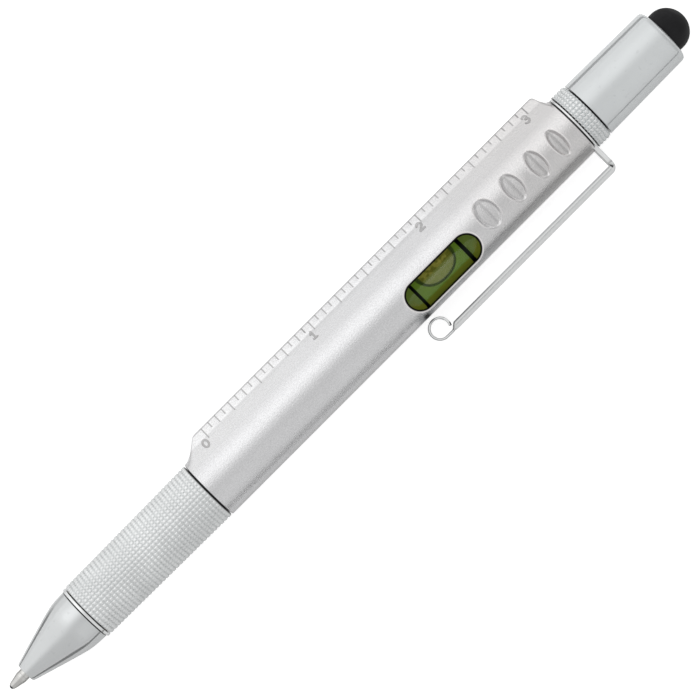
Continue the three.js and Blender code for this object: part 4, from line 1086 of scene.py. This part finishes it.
def clip_path():
    """The line that the strip follows, as columns of station, y, turn, sheet and arch: a straight tab, a quarter
    circle, the straight arm, a slope and most of a circle."""
    parts = []

    def add(*values):
        """One more stretch. Each value is one number for all of it, or an array along it."""
        count = np.broadcast(*values).size
        parts.append([np.broadcast_to(value, count).astype(float) for value in values])

    add(TAB_STATION, -np.array([4.95, 5.5, 6.5, 7.6, 8.5]), 0.0, TAB_SHEET, 0.0)
    share = np.linspace(0, 1, 9)
    bend = share * np.pi / 2
    add(TAB_STATION - CORNER * (1 - np.cos(bend)), -(ARM_LINE - CORNER) - CORNER * np.sin(bend), bend,
        TAB_SHEET + (SHEET - TAB_SHEET) * share, ARCH * share ** 1.15)
    add(np.linspace(132.6, ARM_END, 60), -ARM_LINE, np.pi / 2, SHEET, ARCH)
    line = ROLL_RADIUS - ROLL_SHEET / 2
    ease = np.linspace(0, 1, 8)[1:]
    soft = step_up(ease, 0, 1)
    add(ARM_END - 1.3 * ease, -ARM_LINE + (ARM_LINE + ROLL_Y - line) * soft, np.pi / 2,
        SHEET + (ROLL_SHEET - SHEET) * soft, ARCH * (1 - soft))
    curl = np.linspace(0.02, 0.83, 48) * 2 * np.pi + np.pi / 2
    add(ROLL_STATION + line * np.cos(curl), ROLL_Y - line * np.sin(curl), curl, ROLL_SHEET, 0.0)
    return [np.concatenate(column)[:, None] for column in zip(*parts)]


def clip():
    """One sheet: a washer between barrel and collar, a tab, a corner, the arched arm and its rolled end. The
    strip's section is a flat bar with rounded edges, arched outwards by its rise times one minus the square of the
    way across. All but the roll's outer face is polished. Two dark spots at the corner are painted reflections of
    the bend; the arm's inner edge, the roll's end, the roll's top by the barrel and the roll's rounded edges are
    painted shade."""
    x, y, turn, thick, arch = clip_path()
    across = np.linspace(-1, 1, 17)[1:-1]
    corner_turn = np.linspace(0, np.pi / 2, 4)
    inset = HALF_STRIP - STRIP_ROUND
    dip, swing = STRIP_ROUND * np.cos(corner_turn), STRIP_ROUND * np.sin(corner_turn)
    face_z = np.concatenate([-inset - dip, across * inset, inset + swing])
    face_drop = np.concatenate([swing - STRIP_ROUND, 0 * across, dip - STRIP_ROUND])
    count = len(face_z)
    z = np.concatenate([face_z, face_z[::-1], face_z[:1]])[None]
    drop = np.concatenate([face_drop, face_drop[::-1], face_drop[:1]])[None]
    side = np.concatenate([np.ones(count), -np.ones(count), [1]])[None]
    offset = side * (thick / 2 + drop) + arch * (1 - (z / HALF_STRIP) ** 2)
    grid = np.stack([x + offset * np.cos(turn), y - offset * np.sin(turn), z + 0 * x], -1)
    ends = [np.stack([grid[n, :count], grid[n, count:2 * count][::-1]]) for n in (0, -1)]
    ring = ring_round([(133.76, 4.6, 0.03), (133.76, 5.66, 0.05), (134.10, 5.66, 0.05), (134.10, 4.6, 0.03)])
    patches = [grid, *ends, turned(ring, 128)]

    shine, shade = ([np.zeros(patch.shape[:2]) for patch in patches] for n in range(2))
    shine[0] += np.maximum(side < 0, x > 95)
    shine[-1] += 1
    # Painted reflections and shade: two dark spots at the bend, the arm's inner edge, the roll's end, the roll's top
    # where it meets the barrel, and the roll's rounded edges.
    bend_reflections = (np.exp(-((y + 8.75) / 0.13) ** 2) + np.exp(-((y + 9.36) / 0.10) ** 2)) * (x > 133.2)
    fading = np.interp(x, [94.9, 95.2, 101, 107], [0, 0.95, 0.95, 0.55])
    inner_edge = (side < 0) * (z > HALF_STRIP - 0.13) * (y < -9.1) * fading
    roll_end = (side > 0) * (x > 94.9) * (x < 95.9) * (np.abs(y + 8.95) < 0.35)
    roll_top = 0.9 * (side > 0) * np.exp(-((x - ROLL_STATION) / 0.6) ** 4) * (y > -6.8)
    outline = 0.7 * (x < 95.4) * (np.abs(z) > inset - 0.001) * (np.abs(z) < HALF_STRIP - 0.01)
    shade[0] += np.clip(1.2 * bend_reflections, 0, 1) * (z > HALF_STRIP - 0.3)
    for spot in (inner_edge, roll_end, roll_top, outline):
        shade[0] = np.maximum(shade[0], spot)
    made = skin("clip", patches, FINISH["clip_chrome"], sharp=50, shine=shine, shade=shade)
    finish_piece(made, None, "clip_chrome", "clip_ring", "clip_arm")
    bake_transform(made)


clip()

# Inner pieces keep their shape and get a finish

INNER = {
    "barrel_bush": "black_plastic", "cam_sleeve": "white_plastic", "mechanism_plug": "black_plastic",
    "vial_cradle": "olive_plastic", "vial_plug": "olive_plastic", "hex_insert": "tool_steel", "bit_magnet": "magnet",
    "grip_liner": "brass", "liner_snap_ring": "spring_steel", "return_spring": "spring_steel",
    "refill_tube": "refill_steel", "follower": "white_plastic", "follower_pin": "tool_steel",
    "screwdriver_bit": "tool_steel", "cap_insert": "brass", "stylus_plug": "black_plastic",
}
for node, slot in INNER.items():
    mesh_slots = frame["nodes"][node].data.materials
    mesh_slots.clear()
    mesh_slots.append(FINISH[slot])

# Floor and light

def floor():
    """A pale sheet. What metal and glass mirror of it is brighter on the rule's side, a painted light, and has two
    dark strips of painted shade, one along each side of the pen, which draw the thin dark lines near both limbs
    of the polished pieces."""
    half, height = 2.0, -0.04 * MM
    corners = [(-half, -half, height), (half, -half, height), (half, half, height), (-half, half, height)]
    mesh = bpy.data.meshes.new("floor")
    mesh.from_pydata(corners, [], [(0, 1, 2, 3)])
    made = bpy.data.objects.new("floor", mesh)
    scene.collection.objects.link(made)
    material = bpy.data.materials.new("pale_floor")
    material.use_nodes = True
    tree = material.node_tree
    tree.nodes.clear()
    light = put(tree, "ShaderNodeLightPath")
    mirrored = sum_of(tree, "MAXIMUM", light.outputs["Is Glossy Ray"], light.outputs["Is Transmission Ray"])
    where = put(tree, "ShaderNodeTexCoord").outputs["Object"]
    parts = put(tree, "ShaderNodeSeparateXYZ", {"Vector": where})
    x, y = parts.outputs["X"], parts.outputs["Y"]

    # Painted shade: two strips that darken only what metal and glass mirror of the floor.
    near_way = sum_of(tree, "DIVIDE", y, spread(tree, x, -60 * MM, 60 * MM, 14 * MM, 21 * MM))
    near_strip = product(
        tree, spread(tree, near_way, 0.72, 0.84), spread(tree, near_way, 1.22, 1.4, 1.0, 0.0),
        spread(tree, x, -72 * MM, -66 * MM, 1.0, 0.35), spread(tree, x, 40 * MM, 55 * MM, 1.0, 2.6),
    )
    far_reach = sum_of(tree, "ADD", spread(tree, x, -77 * MM, -64 * MM, -22 * MM, -50 * MM),
                       spread(tree, x, 55 * MM, 63 * MM, 0.0, -38 * MM))
    far_way = sum_of(tree, "DIVIDE", y, far_reach)
    far_end = spread(tree, x, -68 * MM, -61 * MM, 2.3, 1.32)
    far_strip = product(
        tree, spread(tree, far_way, 0.66, 0.78),
        spread(tree, far_way, far_end, sum_of(tree, "ADD", far_end, 0.18), 1.0, 0.0),
    )
    strips = product(tree, sum_of(tree, "MAXIMUM", near_strip, far_strip), mirrored)
    strips = sum_of(tree, "MINIMUM", strips, 1.0)

    pale = mixed(tree, strips, (0.80, 0.80, 0.80), (0.05, 0.05, 0.05))
    matt = put(tree, "ShaderNodeBsdfDiffuse", {"Color": pale})
    # Painted light: the mirrored glow is stronger on the rule's side than on the clip's.
    bright = spread(tree, y, -8 * MM, 8 * MM, 0.06, 0.24)
    shown = product(tree, mirrored, bright, sum_of(tree, "SUBTRACT", 1.0, strips))
    seen = product(tree, light.outputs["Is Camera Ray"], 0.66)
    strength = sum_of(tree, "ADD", shown, seen)
    glow = put(tree, "ShaderNodeEmission", {"Color": (1, 1, 1, 1), "Strength": strength})
    both = put(tree, "ShaderNodeAddShader")
    tree.links.new(matt.outputs["BSDF"], both.inputs[0])
    tree.links.new(glow.outputs["Emission"], both.inputs[1])
    out = put(tree, "ShaderNodeOutputMaterial")
    tree.links.new(both.outputs[0], out.inputs["Surface"])
    mesh.materials.append(material)


# How bright the light is at each angle, in degrees from straight up and towards the rule's side.
LIGHT_ROUND = [
    (-180, 0.30), (-98, 0.30), (-90, 0.56), (-80, 0.68), (-60, 0.71), (-40, 0.71), (-24, 0.67), (-9, 0.60), (1, 0.68),
    (12, 0.92), (24, 1.20), (44, 1.31), (60, 1.14), (76, 0.97), (90, 1.08), (180, 0.95),
]


def light_round():
    """A studio's light as a plain function of the angle from straight up, read from the line above. It is levelled
    towards the cap's end and the point's, and white where the camera sees it."""
    world = bpy.data.worlds.new("studio")
    scene.world = world
    world.use_nodes = True
    tree = world.node_tree
    tree.nodes.clear()
    way = put(tree, "ShaderNodeTexCoord").outputs["Generated"]
    parts = put(tree, "ShaderNodeSeparateXYZ", {"Vector": way})
    along = parts.outputs["X"]
    angle = sum_of(tree, "ARCTAN2", parts.outputs["Y"], parts.outputs["Z"])
    share = sum_of(tree, "MULTIPLY_ADD", angle, 1 / (2 * math.pi), 0.5)
    ramp = put(tree, "ShaderNodeValToRGB", {"Fac": share})
    ramp.color_ramp.interpolation = "B_SPLINE"
    stops = ramp.color_ramp.elements
    for degrees, _ in LIGHT_ROUND[1:-1]:
        stops.new((degrees + 180) / 360)
    for degrees, bright in LIGHT_ROUND:
        nearest = min(stops, key=lambda stop: abs(stop.position - (degrees + 180) / 360))
        nearest.color = (bright / 2, bright / 2, bright / 2, 1)
    light = product(tree, ramp.outputs["Color"], 2.0)
    light = towards(tree, spread(tree, along, 0.050, 0.092, 0.0, 0.42), light, 0.81)
    even = spread(tree, angle, -0.35, 0.45, 0.58, 0.92)
    light = towards(tree, spread(tree, along, -0.56, -0.20, 1.0, 0.0), light, even)
    past_pen = spread(tree, along, 0.70, 0.95, 1.0, 1.7)
    light = product(tree, light, spread(tree, along, 0.12, 0.50, 1.0, 0.62), past_pen)
    seen = put(tree, "ShaderNodeLightPath").outputs["Is Camera Ray"]
    light = towards(tree, seen, light, 1.0)
    back = put(tree, "ShaderNodeBackground", {"Color": (1, 1, 1, 1), "Strength": light})
    out = put(tree, "ShaderNodeOutputWorld")
    tree.links.new(back.outputs["Background"], out.inputs["Surface"])


floor()
light_round()
